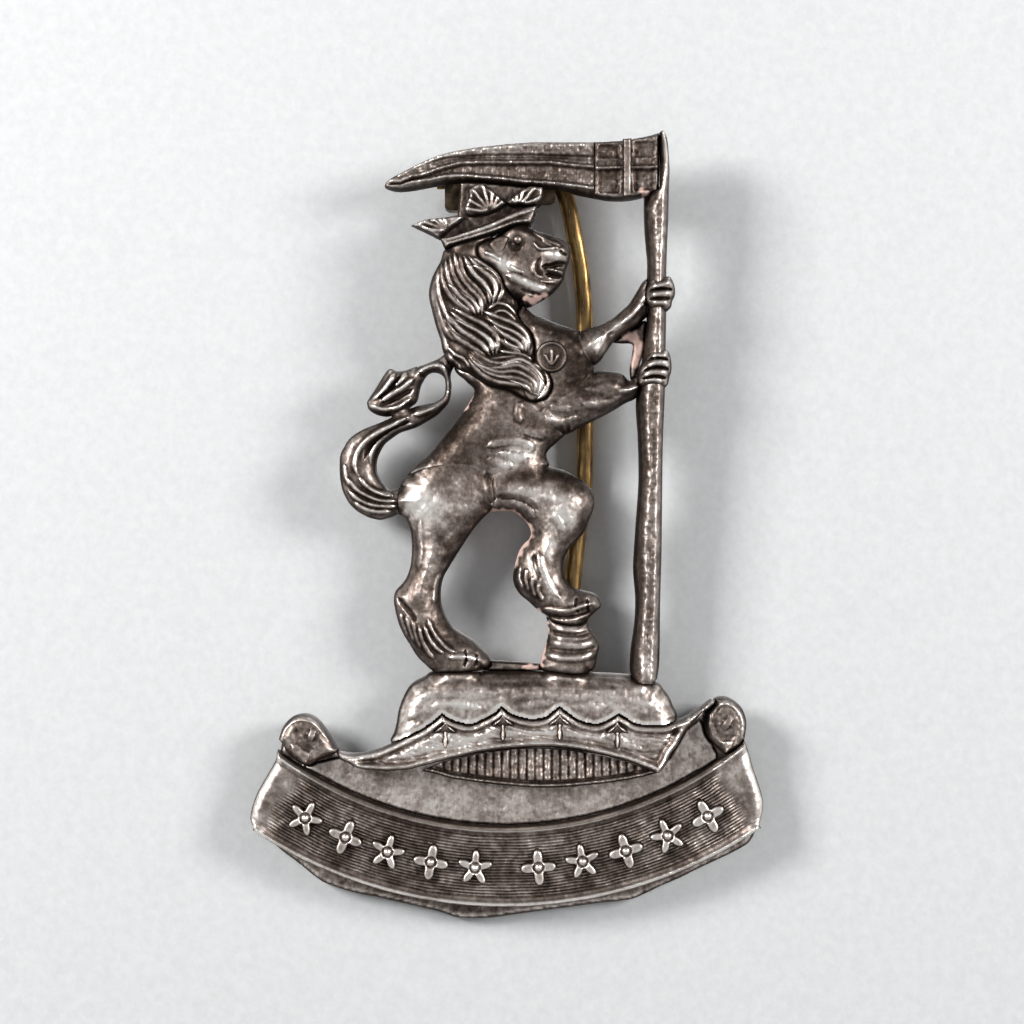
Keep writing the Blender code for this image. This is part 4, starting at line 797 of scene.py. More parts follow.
HEAD_STROKES = [
    (0.46, 0.22, [(0.0, 18.45), (1.1, 18.1), (2.1, 17.65), (3.1, 17.4)]),
    (0.17, 0.20, [(1.8, 21.95), (2.4, 21.5), (3.0, 21.1), (4.0, 20.7)]),
    (0.16, 0.20, [(1.95, 20.95), (2.4, 20.45), (3.1, 20.45), (3.6, 20.6)]),
    (0.16, 0.14, [(2.6, 21.2), (3.2, 20.8), (3.8, 20.5)]),
    (0.22, -0.14, [(2.5, 19.8), (2.3, 19.35), (2.35, 18.8), (2.7, 18.5)]),
    (0.17, 0.12, [(2.1, 19.6), (1.9, 19.05), (2.2, 18.5), (2.6, 18.3)]),
    (0.26, -0.40, [(2.6, 19.15), (3.2, 19.15), (3.8, 19.35), (4.7, 19.35)]),
    (0.14, 0.30, [(2.9, 18.95), (3.5, 18.85), (4.2, 18.7)]),
    (0.20, -0.46, [(2.9, 18.55), (3.5, 18.45), (4.4, 18.35)]),
    (0.14, 0.14, [(2.5, 18.05), (3.1, 17.98), (3.8, 18.0)]),
    (0.16, -0.24, [(3.9, 20.35), (4.15, 20.1), (4.5, 20.05)]),
    (0.30, -0.12, [(0.3, 21.1), (0.25, 20.7), (0.6, 20.5), (1.1, 20.6)]),
    (0.20, 0.14, [(-1.7, 20.2), (-1.0, 19.95), (-0.5, 19.6)]),
    (0.16, 0.07, [(0.2, 19.2), (0.7, 18.9), (1.2, 18.7)]),
    (0.16, -0.06, [(0.0, 18.9), (0.6, 18.6), (1.3, 18.4)]),
    (0.18, -0.12, [(1.0, 17.45), (1.7, 17.2), (2.6, 17.0)]),
]
HEAD_BULGES = [
    ((-0.4, 19.4), (1.3, 0.7), -38, 0.30), ((3.6, 19.95), (0.95, 0.6), -15, 0.42),
    ((1.1, 21.7), (0.9, 0.5), -15, 0.20), ((2.6, 17.3), (1.1, 0.5), 5, 0.18),
    ((1.5, 19.6), (0.9, 0.7), 0, -0.16), ((0.8, 20.9), (0.8, 0.6), 0, -0.16),
]


def fan(first, last, count, half_width=0.34, height=0.36):
    """Strands spread evenly from the first line to the last."""
    made = []
    for share in np.linspace(0, 1, count):
        line = [(a[0] + (b[0] - a[0]) * share, a[1] + (b[1] - a[1]) * share) for a, b in zip(first, last)]
        made.append((half_width, height * (1 - 0.15 * (len(made) % 2)), line))
    return made


MANE_STROKES = (
    fan([(-2.4, 19.75), (-1.3, 19.1), (-0.45, 18.4), (-0.25, 17.5), (-0.75, 16.4)],
        [(-3.5, 19.9), (-3.15, 18.5), (-2.4, 17.7), (-1.9, 17.1), (-1.5, 16.3)], 4)
    + fan([(-3.9, 20.1), (-3.5, 18.6), (-2.8, 17.6), (-2.0, 16.7), (-1.85, 15.6)],
          [(-4.85, 19.4), (-4.75, 18.1), (-4.1, 16.9), (-3.2, 16.1), (-2.5, 15.5)], 4)
    + fan([(-5.1, 19.1), (-5.15, 17.6), (-4.9, 16.5), (-4.3, 15.2), (-3.5, 14.6)],
          [(-5.5, 18.0), (-5.55, 16.9), (-5.3, 15.4), (-4.9, 14.0), (-4.3, 12.7)], 3)
    + fan([(-3.9, 16.0), (-2.8, 15.4), (-1.65, 14.8), (-0.7, 13.9), (-0.8, 12.7)],
          [(-4.7, 15.4), (-3.9, 14.1), (-3.1, 13.5), (-2.3, 13.0), (-1.5, 12.5)], 4)
    + fan([(-1.7, 15.8), (-0.5, 15.3), (0.5, 14.9), (1.45, 14.1), (1.6, 12.9)],
          [(-1.2, 14.3), (-0.5, 13.7), (0.1, 13.35), (0.6, 13.1), (1.05, 12.75)], 4)
    + fan([(-1.4, 15.95), (-0.7, 16.4), (0.1, 16.2), (0.9, 15.4)],
          [(-1.3, 15.5), (-0.5, 15.85), (0.1, 15.7), (0.7, 15.1)], 2, 0.2, 0.26)
    + fan([(-2.6, 13.0), (-1.5, 12.2), (-0.3, 11.95), (1.0, 12.25), (2.0, 11.6), (2.6, 10.7), (2.3, 9.6)],
          [(-2.9, 12.4), (-2.0, 11.3), (-0.9, 10.7), (0.1, 10.5), (1.0, 10.4), (1.5, 10.2), (1.8, 9.8)], 5)
    + fan([(-4.5, 13.2), (-3.8, 12.6), (-3.2, 12.3), (-2.7, 11.6)],
          [(-4.7, 13.5), (-4.3, 12.6), (-3.9, 12.1), (-3.4, 11.6)], 2, 0.2, 0.26)
    + fan([(1.7, 11.95), (2.85, 11.5), (3.1, 10.6), (2.8, 9.7), (2.2, 9.3)],
          [(1.6, 12.6), (2.0, 12.4), (2.3, 12.1), (2.6, 11.8), (2.8, 11.4)], 1)
    + fan([(-0.6, 12.9), (0.3, 12.75), (1.2, 12.6), (1.9, 12.2)],
          [(-1.6, 12.3), (-0.8, 12.35), (0.0, 12.45), (0.8, 12.5)], 2, 0.2, 0.24)
    + fan([(-0.3, 18.9), (0.0, 17.9), (0.4, 17.1), (0.5, 16.3)],
          [(-0.6, 18.5), (-0.1, 17.3), (-0.2, 16.8), (-0.6, 16.3)], 2, 0.16, 0.14)
)
BODY_STROKES = [
    (0.38, 0.12, [(-2.6, 10.1), (-2.75, 9.3), (-3.3, 8.5), (-4.0, 7.6), (-4.8, 6.7), (-5.5, 5.8),
        (-6.2, 5.0)]),
    (0.30, 0.10, [(-5.5, 5.0), (-5.8, 4.5), (-6.3, 4.0)]),
    (0.35, 0.16, [(1.15, 9.1), (0.85, 8.4), (1.05, 7.6)]),
    (0.38, 0.16, [(-1.5, 5.8), (-0.8, 6.05), (0.2, 6.25), (1.1, 6.2), (1.8, 5.8), (1.7, 5.4)]),
    (0.33, -0.08, [(-1.3, 5.4), (-0.5, 5.6), (0.5, 5.65), (1.4, 5.55)]),
    (0.45, 0.12, [(-0.5, 5.4), (0.3, 5.1), (0.9, 5.0), (1.5, 5.1)]),
    (0.45, 0.10, [(1.3, 7.0), (2.1, 6.75), (2.9, 6.6)]),
    (0.33, -0.06, [(1.2, 6.6), (2.0, 6.4), (2.7, 6.2)]),
    (0.38, 0.09, [(-1.4, 4.9), (-0.5, 4.6), (0.4, 4.4)]),
    (0.33, 0.09, [(1.9, 14.7), (2.6, 14.55), (3.4, 14.3)]),
    (0.28, 0.06, [(4.0, 14.2), (4.9, 13.5), (5.6, 12.5)]),
    (0.38, -0.10, [(2.0, 9.3), (2.4, 8.9), (2.6, 8.4)]),
    (0.45, 0.12, [(2.9, 8.05), (3.3, 7.65), (3.9, 7.45), (4.7, 7.65), (5.4, 7.95)]),
    (0.30, -0.08, [(3.2, 8.4), (3.8, 8.1), (4.6, 8.15), (5.3, 8.45)]),
    (0.33, 0.11, [(3.2, 8.8), (4.0, 8.65), (4.7, 8.75)]),
    (0.38, 0.10, [(5.6, 9.0), (6.6, 8.9), (7.6, 9.0), (8.4, 9.5)]),
    (0.33, 0.10, [(5.7, 10.1), (6.6, 10.1), (7.4, 10.4), (8.4, 10.3)]),
    (0.30, -0.07, [(5.4, 9.5), (6.3, 9.45), (7.2, 9.65)]),
    (0.33, 0.10, [(8.3, 9.9), (9.0, 10.1), (9.8, 10.6), (10.4, 11.0)]),
    (0.25, 0.07, [(4.4, 10.6), (5.2, 10.9), (6.0, 11.1)]),
    (0.30, 0.10, [(6.6, 12.6), (7.1, 13.3), (7.3, 14.1)]),
    (0.28, 0.10, [(6.9, 12.5), (7.6, 13.3), (8.0, 14.2)]),
    (0.25, -0.06, [(6.4, 13.1), (6.9, 13.8), (7.2, 14.5)]),
    (0.30, 0.11, [(8.6, 15.0), (9.3, 15.7), (10.0, 16.6), (10.6, 17.4)]),
    (0.25, -0.07, [(9.3, 15.1), (9.9, 15.8), (10.5, 16.7)]),
    (0.43, -0.14, [(-1.5, 3.9), (-1.25, 2.8), (-1.15, 1.6)]),
    (0.30, 0.12, [(-6.4, 0.3), (-6.45, -0.8), (-6.4, -2.0), (-6.6, -3.2)]),
    (0.26, -0.20, [(-8.1, -5.4), (-7.3, -6.3), (-6.7, -7.1)]),
    (0.24, 0.22, [(-5.8, -6.9), (-5.5, -7.8), (-5.0, -8.5), (-4.4, -9.1), (-3.8, -9.4)]),
    (0.22, 0.22, [(-6.1, -7.4), (-5.8, -8.3), (-5.3, -9.0), (-4.7, -9.5)]),
    (0.22, 0.22, [(-6.5, -7.5), (-6.3, -8.5), (-5.9, -9.3), (-5.4, -9.9)]),
    (0.20, 0.20, [(-7.0, -7.1), (-6.8, -8.1), (-6.4, -9.1)]),
    (0.20, 0.20, [(-7.5, -6.8), (-7.2, -7.8), (-6.9, -8.6)]),
    (0.18, 0.18, [(-7.95, -6.6), (-7.75, -7.4), (-7.4, -8.2)]),
    (0.24, 0.14, [(-4.9, -3.6), (-5.3, -4.8), (-5.4, -5.8)]),
    (0.30, 0.20, [(-4.3, -9.8), (-3.4, -9.7), (-2.5, -9.8), (-1.8, -10.0)]),
    (0.16, -0.20, [(-2.3, -9.5), (-2.2, -10.0), (-2.4, -10.5)]),
    (0.16, -0.20, [(-3.1, -9.2), (-3.0, -9.9), (-3.2, -10.5)]),
    (0.43, 0.06, [(1.0, 2.7), (2.1, 2.4), (3.2, 2.0), (4.2, 1.8)]),
    (0.50, 0.20, [(-1.2, 1.5), (-0.4, 1.55), (0.5, 1.5), (1.3, 1.2), (2.0, 0.6)]),
    (0.35, -0.10, [(-0.8, 2.1), (0.4, 2.1), (1.5, 1.75), (2.3, 1.1)]),
    (0.40, 0.16, [(2.3, -2.0), (2.5, -2.8), (2.9, -3.8), (3.4, -4.7), (3.9, -5.3)]),
    (0.28, -0.16, [(2.0, -2.2), (2.1, -3.1), (2.4, -4.1)]),
    (0.20, 0.20, [(1.0, -3.0), (0.9, -3.9), (1.2, -4.7)]),
    (0.20, 0.20, [(1.45, -3.2), (1.35, -4.0), (1.65, -4.9)]),
    (0.20, 0.20, [(1.9, -3.8), (1.85, -4.5), (2.1, -5.3)]),
    (0.20, 0.20, [(2.4, -4.3), (2.3, -4.9), (2.7, -5.6)]),
    (0.28, 0.24, [(2.7, -6.2), (3.6, -6.35), (4.6, -6.3), (5.5, -6.0), (6.3, -5.8)]),
    (0.18, -0.22, [(3.2, -6.75), (4.2, -6.85), (5.4, -6.7), (6.3, -6.4)]),
    (0.15, -0.20, [(5.2, -5.3), (5.1, -5.9), (5.3, -6.6)]),
    (0.15, -0.20, [(6.0, -5.4), (5.95, -6.0), (6.1, -6.5)]),
    (0.20, 0.07, [(3.5, 0.9), (4.0, 0.2), (4.2, -0.5)]),
    (0.20, -0.05, [(3.2, 0.5), (3.7, -0.2), (3.8, -0.9)]),
]
BODY_BULGES = [
    ((3.4, 13.2), (2.0, 2.4), 60, 0.30), ((2.6, 10.6), (1.6, 2.2), 20, 0.20),
    ((-0.3, 7.9), (2.4, 2.0), 40, 0.35), ((-3.4, 6.0), (3.4, 1.7), 42, 0.30),
    ((-5.2, 1.6), (2.6, 2.4), 0, 0.35), ((-5.3, -3.0), (1.1, 2.8), 5, 0.12),
    ((-3.2, -9.8), (1.5, 0.9), -10, 0.20), ((4.3, 1.4), (1.8, 1.8), -30, 0.38),
    ((0.8, 2.9), (1.8, 1.0), 0, 0.10), ((3.2, -2.0), (1.0, 2.2), 8, 0.12),
    ((4.3, -5.9), (2.0, 0.8), 0, 0.15), ((-1.5, 3.6), (1.2, 0.8), 70, -0.18),
    ((6.8, 13.3), (0.9, 1.0), 30, 0.18),
]
TAIL_STROKES = [
    (0.34, 0.30, [(-6.6, 11.3), (-5.8, 11.75), (-5.0, 11.8), (-4.55, 11.1), (-4.45, 10.3)]),
    (0.34, 0.30, [(-4.5, 9.9), (-5.0, 9.0), (-5.8, 8.6), (-7.0, 8.2)]),
    (0.30, 0.34, [(-7.4, 8.0), (-8.4, 7.5), (-9.4, 7.0), (-10.3, 6.4), (-11.0, 5.6), (-11.3, 4.6),
        (-11.1, 3.7)]),
    (0.26, 0.28, [(-6.9, 7.5), (-7.9, 7.2), (-8.7, 6.8), (-9.5, 6.1), (-10.0, 5.3), (-10.1, 4.5)]),
    (0.22, -0.24, [(-7.2, 7.75), (-8.3, 7.2), (-9.3, 6.6), (-10.2, 5.8), (-10.6, 4.9)]),
    (0.26, 0.30, [(-11.0, 3.6), (-10.4, 2.9), (-9.5, 2.4), (-8.5, 2.2)]),
    (0.24, 0.28, [(-11.9, 3.6), (-11.2, 2.7), (-10.2, 2.1), (-9.2, 1.8), (-8.2, 1.8)]),
    (0.24, 0.28, [(-11.8, 2.6), (-11.0, 1.9), (-10.0, 1.5), (-9.0, 1.4), (-8.1, 1.4)]),
    (0.22, 0.26, [(-11.4, 1.7), (-10.5, 1.2), (-9.6, 1.0), (-8.6, 1.0)]),
    (0.20, 0.24, [(-12.1, 4.6), (-12.0, 3.6), (-11.6, 2.9)]),
]
TUFT_STROKES = [
    (0.26, 0.34, [(-8.3, 11.3), (-8.8, 10.5), (-9.4, 9.8), (-10.0, 9.3)]),
    (0.28, 0.34, [(-6.9, 10.9), (-7.6, 10.3), (-8.4, 9.8), (-9.3, 9.2)]),
    (0.26, 0.32, [(-10.2, 8.9), (-9.4, 8.6), (-8.6, 8.6), (-7.8, 8.9), (-7.1, 9.4)]),
    (0.20, -0.26, [(-7.9, 11.2), (-8.2, 10.6), (-8.9, 9.9), (-9.6, 9.4)]),
    (0.20, -0.26, [(-7.0, 10.1), (-7.8, 9.6), (-8.6, 9.2), (-9.4, 8.95)]),
    (0.22, 0.26, [(-7.5, 11.4), (-7.8, 10.8), (-8.3, 10.3)]),
]
PAW_STROKES = {
    "paw_upper": [
        (0.26, 0.20, [(10.6, 17.6), (11.3, 17.8), (12.0, 17.9), (12.4, 17.7)]),
        (0.24, 0.20, [(10.6, 17.0), (11.3, 17.1), (12.0, 17.1), (12.4, 16.9)]),
        (0.22, 0.18, [(10.7, 16.4), (11.3, 16.4), (11.9, 16.4)]),
        (0.13, -0.34, [(10.4, 17.3), (11.2, 17.45), (12.3, 17.45)]),
        (0.13, -0.34, [(10.5, 16.7), (11.2, 16.75), (12.1, 16.75)])],
    "paw_lower": [
        (0.26, 0.20, [(10.6, 12.5), (11.2, 12.65), (11.9, 12.6)]),
        (0.26, 0.22, [(10.3, 11.8), (11.0, 12.0), (11.6, 12.0), (12.1, 11.8)]),
        (0.26, 0.20, [(10.0, 11.0), (10.7, 11.3), (11.4, 11.3), (12.0, 11.1)]),
        (0.22, 0.18, [(10.1, 10.6), (10.8, 10.7), (11.5, 10.6)]),
        (0.13, -0.34, [(10.3, 12.2), (11.0, 12.35), (12.0, 12.25)]),
        (0.13, -0.34, [(10.1, 11.4), (10.9, 11.65), (11.7, 11.6), (12.1, 11.45)]),
        (0.13, -0.30, [(10.0, 10.8), (10.9, 11.0), (11.8, 10.85)])],
}
CUSHION_STROKES = [
    (0.34, 0.09, [(-8.1, -14.6), (-7.4, -14.2), (-6.6, -13.9)]),
    (0.31, 0.09, [(-8.2, -15.4), (-7.3, -15.0), (-6.6, -14.6)]),
    (0.39, 0.08, [(-6.6, -12.7), (-4.6, -12.4), (-2.5, -12.6), (-0.5, -12.4)]),
    (0.36, 0.08, [(-5.6, -13.4), (-3.8, -13.2), (-2.0, -13.5)]),
    (0.39, 0.08, [(0.4, -12.8), (2.4, -12.5), (4.6, -12.7), (6.6, -12.6)]),
    (0.34, 0.07, [(1.2, -13.4), (2.4, -13.2), (3.4, -13.1)]),
    (0.34, 0.07, [(4.8, -13.4), (6.2, -13.5), (7.4, -13.4)]),
    (0.36, 0.07, [(7.6, -12.8), (9.0, -12.9), (10.4, -13.2), (11.4, -13.8)]),
    (0.34, -0.07, [(-5.4, -11.9), (-3.0, -11.7), (-0.4, -11.8), (2.4, -11.7), (5.6, -11.8), (8.6, -12.0)]),
]
FLEURON_FANS = {
    "fleuron_left": ((-4.4, 21.8), 2.6, (104, 176), 5, 2.6),
    "fleuron_middle": ((-1.2, 23.2), 2.2, (42, 172), 7, 2.4),
    "fleuron_right": ((0.9, 23.6), 2.0, (24, 130), 5, 2.4),
}


def limb(edge, top, width, seam_drop=0.4, table=(), swellings=(), grain=0.035):
    """A rounded body part: falls away at the silhouette, dips at the seams, with its strokes on it."""
    def relief(points, d, seam):
        height = edge + (top - edge) * rounded(d, width)
        height -= seam_drop * (1 - rounded(seam, 0.6)) * smoothstep(0.0, 0.5, d)
        fade = smoothstep(0.0, 0.45, d)
        height += (strokes(points, table) + bulges(points, swellings)) * fade
        return height + grain * (noise(points, 0.55, 1) + 0.6 * noise(points, 0.24, 2)) * fade
    return relief


def plateau(edge, top, width, table=(), grain=0.035, swellings=()):
    """A flat-topped piece with rounded edges and its strokes on it."""
    def relief(points, d, seam):
        height = edge + (top - edge) * rounded(np.minimum(d, seam), width)
        fade = smoothstep(0.0, 0.25, d)
        height += (strokes(points, table) + bulges(points, swellings)) * fade
        return height + grain * (noise(points, 0.6, 3) + 0.6 * noise(points, 0.22, 4)) * fade
    return relief


def profile(position, knots, heights):
    """Heights read at a position between rows of knots, rounded between them."""
    made = np.full(len(position), float(heights[0]))
    for low, high, a, b in zip(knots, knots[1:], heights, heights[1:]):
        t = smoothstep(0, 1, (position - low) / np.maximum(high - low, 1e-6))
        made = np.where(position >= low, a + (b - a) * t, made)
    return made


BLADE_LOWER = [
    (-8.8, 25.35), (-8.05, 25.35), (-7.2, 25.55), (-5.8, 25.75), (-4.65, 26.0), (-3.8, 26.05),
    (-2.9, 26.05), (-2.0, 25.95), (-0.5, 25.85), (0.6, 25.7), (1.7, 25.6), (3.2, 25.5), (5.1, 25.3),
    (6.5, 25.1),
]
BLADE_RIB = [
    (-8.0, 25.6), (-7.1, 25.95), (-6.1, 26.15), (-5.0, 26.55), (-4.3, 26.75), (-3.4, 26.95), (-2.0, 27.0),
    (3.2, 27.0), (4.35, 26.85), (6.5, 26.65),
]
BLADE_GROOVE = [
    (-8.0, 25.9), (-7.2, 26.4), (-5.8, 26.9), (-4.65, 27.25), (-2.0, 27.45), (1.7, 27.5), (6.5, 27.35),
]
BLADE_TOP = [
    (-8.8, 25.8), (-8.05, 26.25), (-7.2, 26.7), (-5.7, 27.4), (-4.3, 27.85), (-2.4, 28.2), (-0.15, 28.45),
    (1.95, 28.6), (6.5, 28.6),
]


def blade_relief(points, d, seam):
    """A rounded back, a groove, the raised rib and a rolled cutting edge."""
    lower, rib, groove, top = (along_x(points, line)
                               for line in (BLADE_LOWER, BLADE_RIB, BLADE_GROOVE, BLADE_TOP))
    knots = [lower - 0.6, lower - 0.05, lower + 0.25, rib - 0.3, rib, rib + 0.22, groove,
             groove + 0.25, top - 0.15]
    height = profile(points[:, 1], knots, [0.85, 1.85, 1.58, 1.55, 1.92, 1.66, 1.5, 1.72, 1.85])
    height = 0.5 + (height - 0.5) * rounded(d, 0.35)
    return height + 0.05 * (noise(points, 0.5, 11) + noise(points, 0.2, 12)) * smoothstep(0, 0.3, d)


SOCKET_SINKS = [((6.85, 8.35), (24.75, 26.4)), ((9.5, 11.0), (24.95, 26.4)), ((6.85, 8.35), (27.35, 28.25)),
                ((9.5, 11.0), (27.4, 28.5))]


def socket_relief(points, d, seam):
    """Four shallow panels between a raised cross and a rim."""
    height = 0.7 + 1.1 * rounded(np.minimum(d, seam + 0.1), 0.3)
    for (left, right), (bottom, top) in SOCKET_SINKS:
        inside = (smoothstep(left - 0.15, left + 0.1, points[:, 0])
                  * smoothstep(-right - 0.15, -right + 0.1, -points[:, 0])
                  * smoothstep(bottom - 0.15, bottom + 0.1, points[:, 1])
                  * smoothstep(-top - 0.15, -top + 0.1, -points[:, 1]))
        height -= 0.16 * inside
    height += ridge(points, np.array([(6.5, 26.55), (11.3, 26.65)]), 0.2, 0.14, 0)
    return height + 0.05 * (noise(points, 0.5, 13) + noise(points, 0.2, 14)) * smoothstep(0, 0.3, d)


STAFF_LEFT = [
    (29.3, 11.4), (27.0, 11.4), (25.2, 10.9), (23.5, 10.25), (20.7, 10.4), (17.5, 10.45), (13.0, 10.2),
    (9.0, 9.65), (3.4, 9.85), (-1.9, 9.5), (-5.5, 9.6), (-9.4, 9.25), (-11.7, 9.3),
]
STAFF_RIGHT = [
    (29.3, 11.8), (27.5, 12.1), (26.3, 12.15), (23.0, 12.05), (18.5, 11.9), (10.0, 11.8), (3.0, 11.6),
    (-5.6, 11.45), (-11.7, 11.2),
]


def staff_relief(points, d, seam):
    """A broad dark left flank, a worn front strip and a narrow right flank."""
    left = points[:, 0] - along_z(points, STAFF_LEFT)
    right = along_z(points, STAFF_RIGHT) - points[:, 0]
    height = 0.9 + 2.0 * np.minimum(rounded(np.maximum(left, 0.0), 0.85, 1.7),
                                    rounded(np.maximum(right, 0.0), 0.6, 1.8))
    height = np.minimum(height, 0.9 + 2.0 * rounded(d, 0.5))
    height += bulges(points, [((10.3, -11.0), (0.9, 0.7), 0, 0.12), ((11.5, 28.9), (0.4, 0.6), 0, 0.1)])
    return height + (0.05 * noise(points, 0.5, 15) + 0.05 * noise(points, 0.2, 16)) * smoothstep(0.2, 0.7, d)


def fan_relief(name):
    """Leaf ribs spreading from a base point."""
    centre, reach, (first, last), count, top = FLEURON_FANS[name]
    table = []
    for degrees in np.linspace(first, last, count):
        turn = math.radians(degrees)
        tip = (centre[0] + reach * math.cos(turn), centre[1] + reach * math.sin(turn))
        start = (centre[0] + 0.25 * math.cos(turn), centre[1] + 0.25 * math.sin(turn))
        table.append((0.22, 0.26, [start, tip]))
    return plateau(1.3, top, 0.3, table)


def make_scythe():
    struck("blade", blade_relief, ["blade_socket"], 0.08, tone=0.13, gain=3.0)
    struck("blade_socket", socket_relief, ["blade"], 0.08, tone=-0.08, gain=3.0,
           pink=[(0.25, [(10.1, 24.8), (10.4, 24.7)])])
    struck("blade_collar", plateau(1.9, 2.25, 0.15), [], 0.08, floor=1.7, tone=0.05)
    struck("staff", staff_relief, ["blade_socket"], 0.09, tone=0.02, gain=4.0)


def make_crown():
    band = [(0.22, 0.22, [(-4.8, 21.1), (-3.0, 21.55), (-1.2, 22.15), (0.5, 22.85), (2.0, 23.35)]),
            (0.20, 0.20, [(-4.4, 20.8), (-2.8, 21.2), (-1.0, 21.75), (0.8, 22.4), (1.9, 22.6)])]
    struck("crown_band", plateau(2.2, 2.95, 0.3, band), [], 0.08, floor=0.95, tone=0.06)
    struck("crown_web", plateau(0.9, 1.25, 0.2, grain=0.06), ["blade"], 0.12, tone=-0.16, stacked=True)
    struck("fleuron_left", fan_relief("fleuron_left"), ["crown_band"], 0.07, floor=0.95, tone=0.06)
    struck("fleuron_middle", fan_relief("fleuron_middle"), ["crown_band", "blade", "fleuron_left"], 0.07,
           floor=0.95)
    struck("fleuron_right", fan_relief("fleuron_right"), ["crown_band", "blade", "fleuron_middle"], 0.07,
           floor=0.95)


def eye_relief(points, d, seam):
    """A plain round eyeball."""
    return 2.9 + 0.42 * rounded(d, 0.42)


def ear_relief(points, d, seam):
    """A low laid-back ear with a groove down its middle."""
    groove = ridge(points, np.array([(-1.0, 20.75), (-0.35, 20.95)]), 0.2, 0.06)
    return 2.9 + 0.22 * rounded(d, 0.5) - groove


def make_head():
    struck("head", limb(1.4, 2.95, 1.4, 0.45, HEAD_STROKES, HEAD_BULGES, 0.025),
           ["crown_band", "crown_web"], 0.07,
           pink=[(0.24, [(1.45, 16.75), (1.9, 16.7), (2.5, 16.95), (2.8, 17.1)])], tone=-0.02)
    struck("eye", eye_relief, [], 0.06, floor=2.5, tone=0.12, gain=1.5)
    struck("ear", ear_relief, ["crown_band"], 0.06, floor=2.5, tone=0.06, gain=2.0)


def make_mane():
    struck("mane", limb(1.2, 2.95, 1.2, 0.35, MANE_STROKES, (), 0.03),
           ["head", "crown_band", "crown_web"], 0.08,
           tone=-0.08, gain=7.0)
    for name in ("lock_nape", "lock_collar", "lock_centre", "lock_chest", "lock_shoulder"):
        cutters = {"lock_chest": ["lock_centre"], "lock_shoulder": ["roundel"]}.get(name, [])
        struck(name, plateau(2.85, 3.1, 0.35, MANE_STROKES, 0.02), cutters, 0.07, floor=2.3, gain=6.5,
               tone=0.0)


def roundel_relief(points, d, seam):
    """A low ring with a plain three-leaf sprig."""
    away = np.hypot(points[:, 0] - 3.3, points[:, 1] - 12.45)
    height = 3.08 + 0.1 * rounded(d, 0.15) + 0.14 * np.exp(-((away - 1.02) / 0.12) ** 2)
    sprig = [(0.17, 0.18, [(3.3, 11.75), (3.3, 12.4), (3.3, 13.05)]),
             (0.15, 0.16, [(3.3, 11.8), (3.0, 12.2), (2.78, 12.65)]),
             (0.15, 0.16, [(3.3, 11.8), (3.6, 12.2), (3.82, 12.65)])]
    return height + strokes(points, sprig)


BODY = limb(1.0, 2.8, 1.9, 0.3, BODY_STROKES, BODY_BULGES)
BODY_SPACING = 0.085


def make_body():
    struck("torso", BODY, ["head", "mane", "foreleg_upper", "foreleg_lower", "hind_leg_standing",
                           "hind_leg_raised"], BODY_SPACING, tone=-0.07,
           joined=["foreleg_upper", "foreleg_lower", "hind_leg_standing", "hind_leg_raised"],
           pink=[(0.12, [(-2.7, 9.6), (-2.9, 9.0), (-3.4, 8.3)])])
    struck("roundel", roundel_relief, [], 0.06, floor=2.7, tone=-0.14, gain=4.5)


def make_forelegs():
    struck("foreleg_upper", BODY, ["staff", "paw_upper"], BODY_SPACING, joined=["torso", "paw_upper"])
    struck("foreleg_lower", BODY, ["staff", "paw_lower"], BODY_SPACING, joined=["torso", "paw_lower"])
    struck("paw_web", plateau(0.8, 1.05, 0.2, grain=0.06),
           ["staff", "foreleg_upper", "foreleg_lower", "paw_lower"], 0.12, tone=-0.1, stacked=True,
           pink=[(0.42, [(8.9, 14.2), (9.5, 13.9), (9.8, 13.2), (9.6, 12.2)])])
    for name, table in PAW_STROKES.items():
        struck(name, limb(1.6, 3.3, 0.8, 0.3, table), [], 0.07, floor=0.4, tone=0.06)


def make_hind_legs():
    struck("hind_leg_standing", BODY, [], BODY_SPACING, tone=-0.02,
           joined=["torso", "hind_leg_raised", "tail"])
    under_thigh = [(-1.3, 0.95), (-0.5, 0.95), (0.4, 0.85), (1.05, 0.45), (1.5, -0.1), (1.7, -0.6),
                   (1.5, -1.1), (1.1, -1.6), (0.8, -2.2), (0.5, -3.1)]
    struck("hind_leg_raised", BODY, ["hind_leg_standing"], BODY_SPACING,
           joined=["torso", "hind_leg_standing"],
           pink=[(0.30, under_thigh), (0.2, [(2.3, -6.4), (2.9, -6.9)])])
    rolls = [(0.34, 0.16, [(3.0, -8.6), (4.2, -8.85), (5.6, -8.85), (6.8, -8.5)]),
             (0.34, 0.20, [(2.8, -9.6), (4.0, -9.85), (5.4, -9.85), (6.8, -9.5)]),
             (0.20, -0.12, [(2.9, -9.15), (4.2, -9.35), (5.6, -9.35), (6.8, -9.0)]),
             (0.26, -0.20, [(3.1, -7.9), (4.3, -8.1), (5.6, -8.1), (6.5, -7.8)])]
    struck("stump", limb(0.9, 2.5, 1.4, 0.4, rolls), ["hind_leg_raised"], 0.08, tone=0.08,
           pink=[(0.16, [(3.0, -7.4), (2.95, -8.4), (2.75, -9.4), (2.6, -10.3)])])
    struck("ground_bar", plateau(0.7, 1.15, 0.25, grain=0.06), ["hind_leg_standing", "stump"], 0.1,
           tone=-0.12, stacked=True, pink=[(0.2, [(1.2, -10.6), (2.2, -10.6)])])


def make_tail():
    struck("tail", limb(0.9, 2.2, 0.85, 0.2, TAIL_STROKES), ["hind_leg_standing", "torso", "mane"], 0.08,
           tone=0.0, joined=["tail_tuft"])
    struck("tail_tuft", limb(0.9, 2.4, 0.9, 0.2, TUFT_STROKES), ["tail"], 0.08, tone=0.0, joined=["tail"])


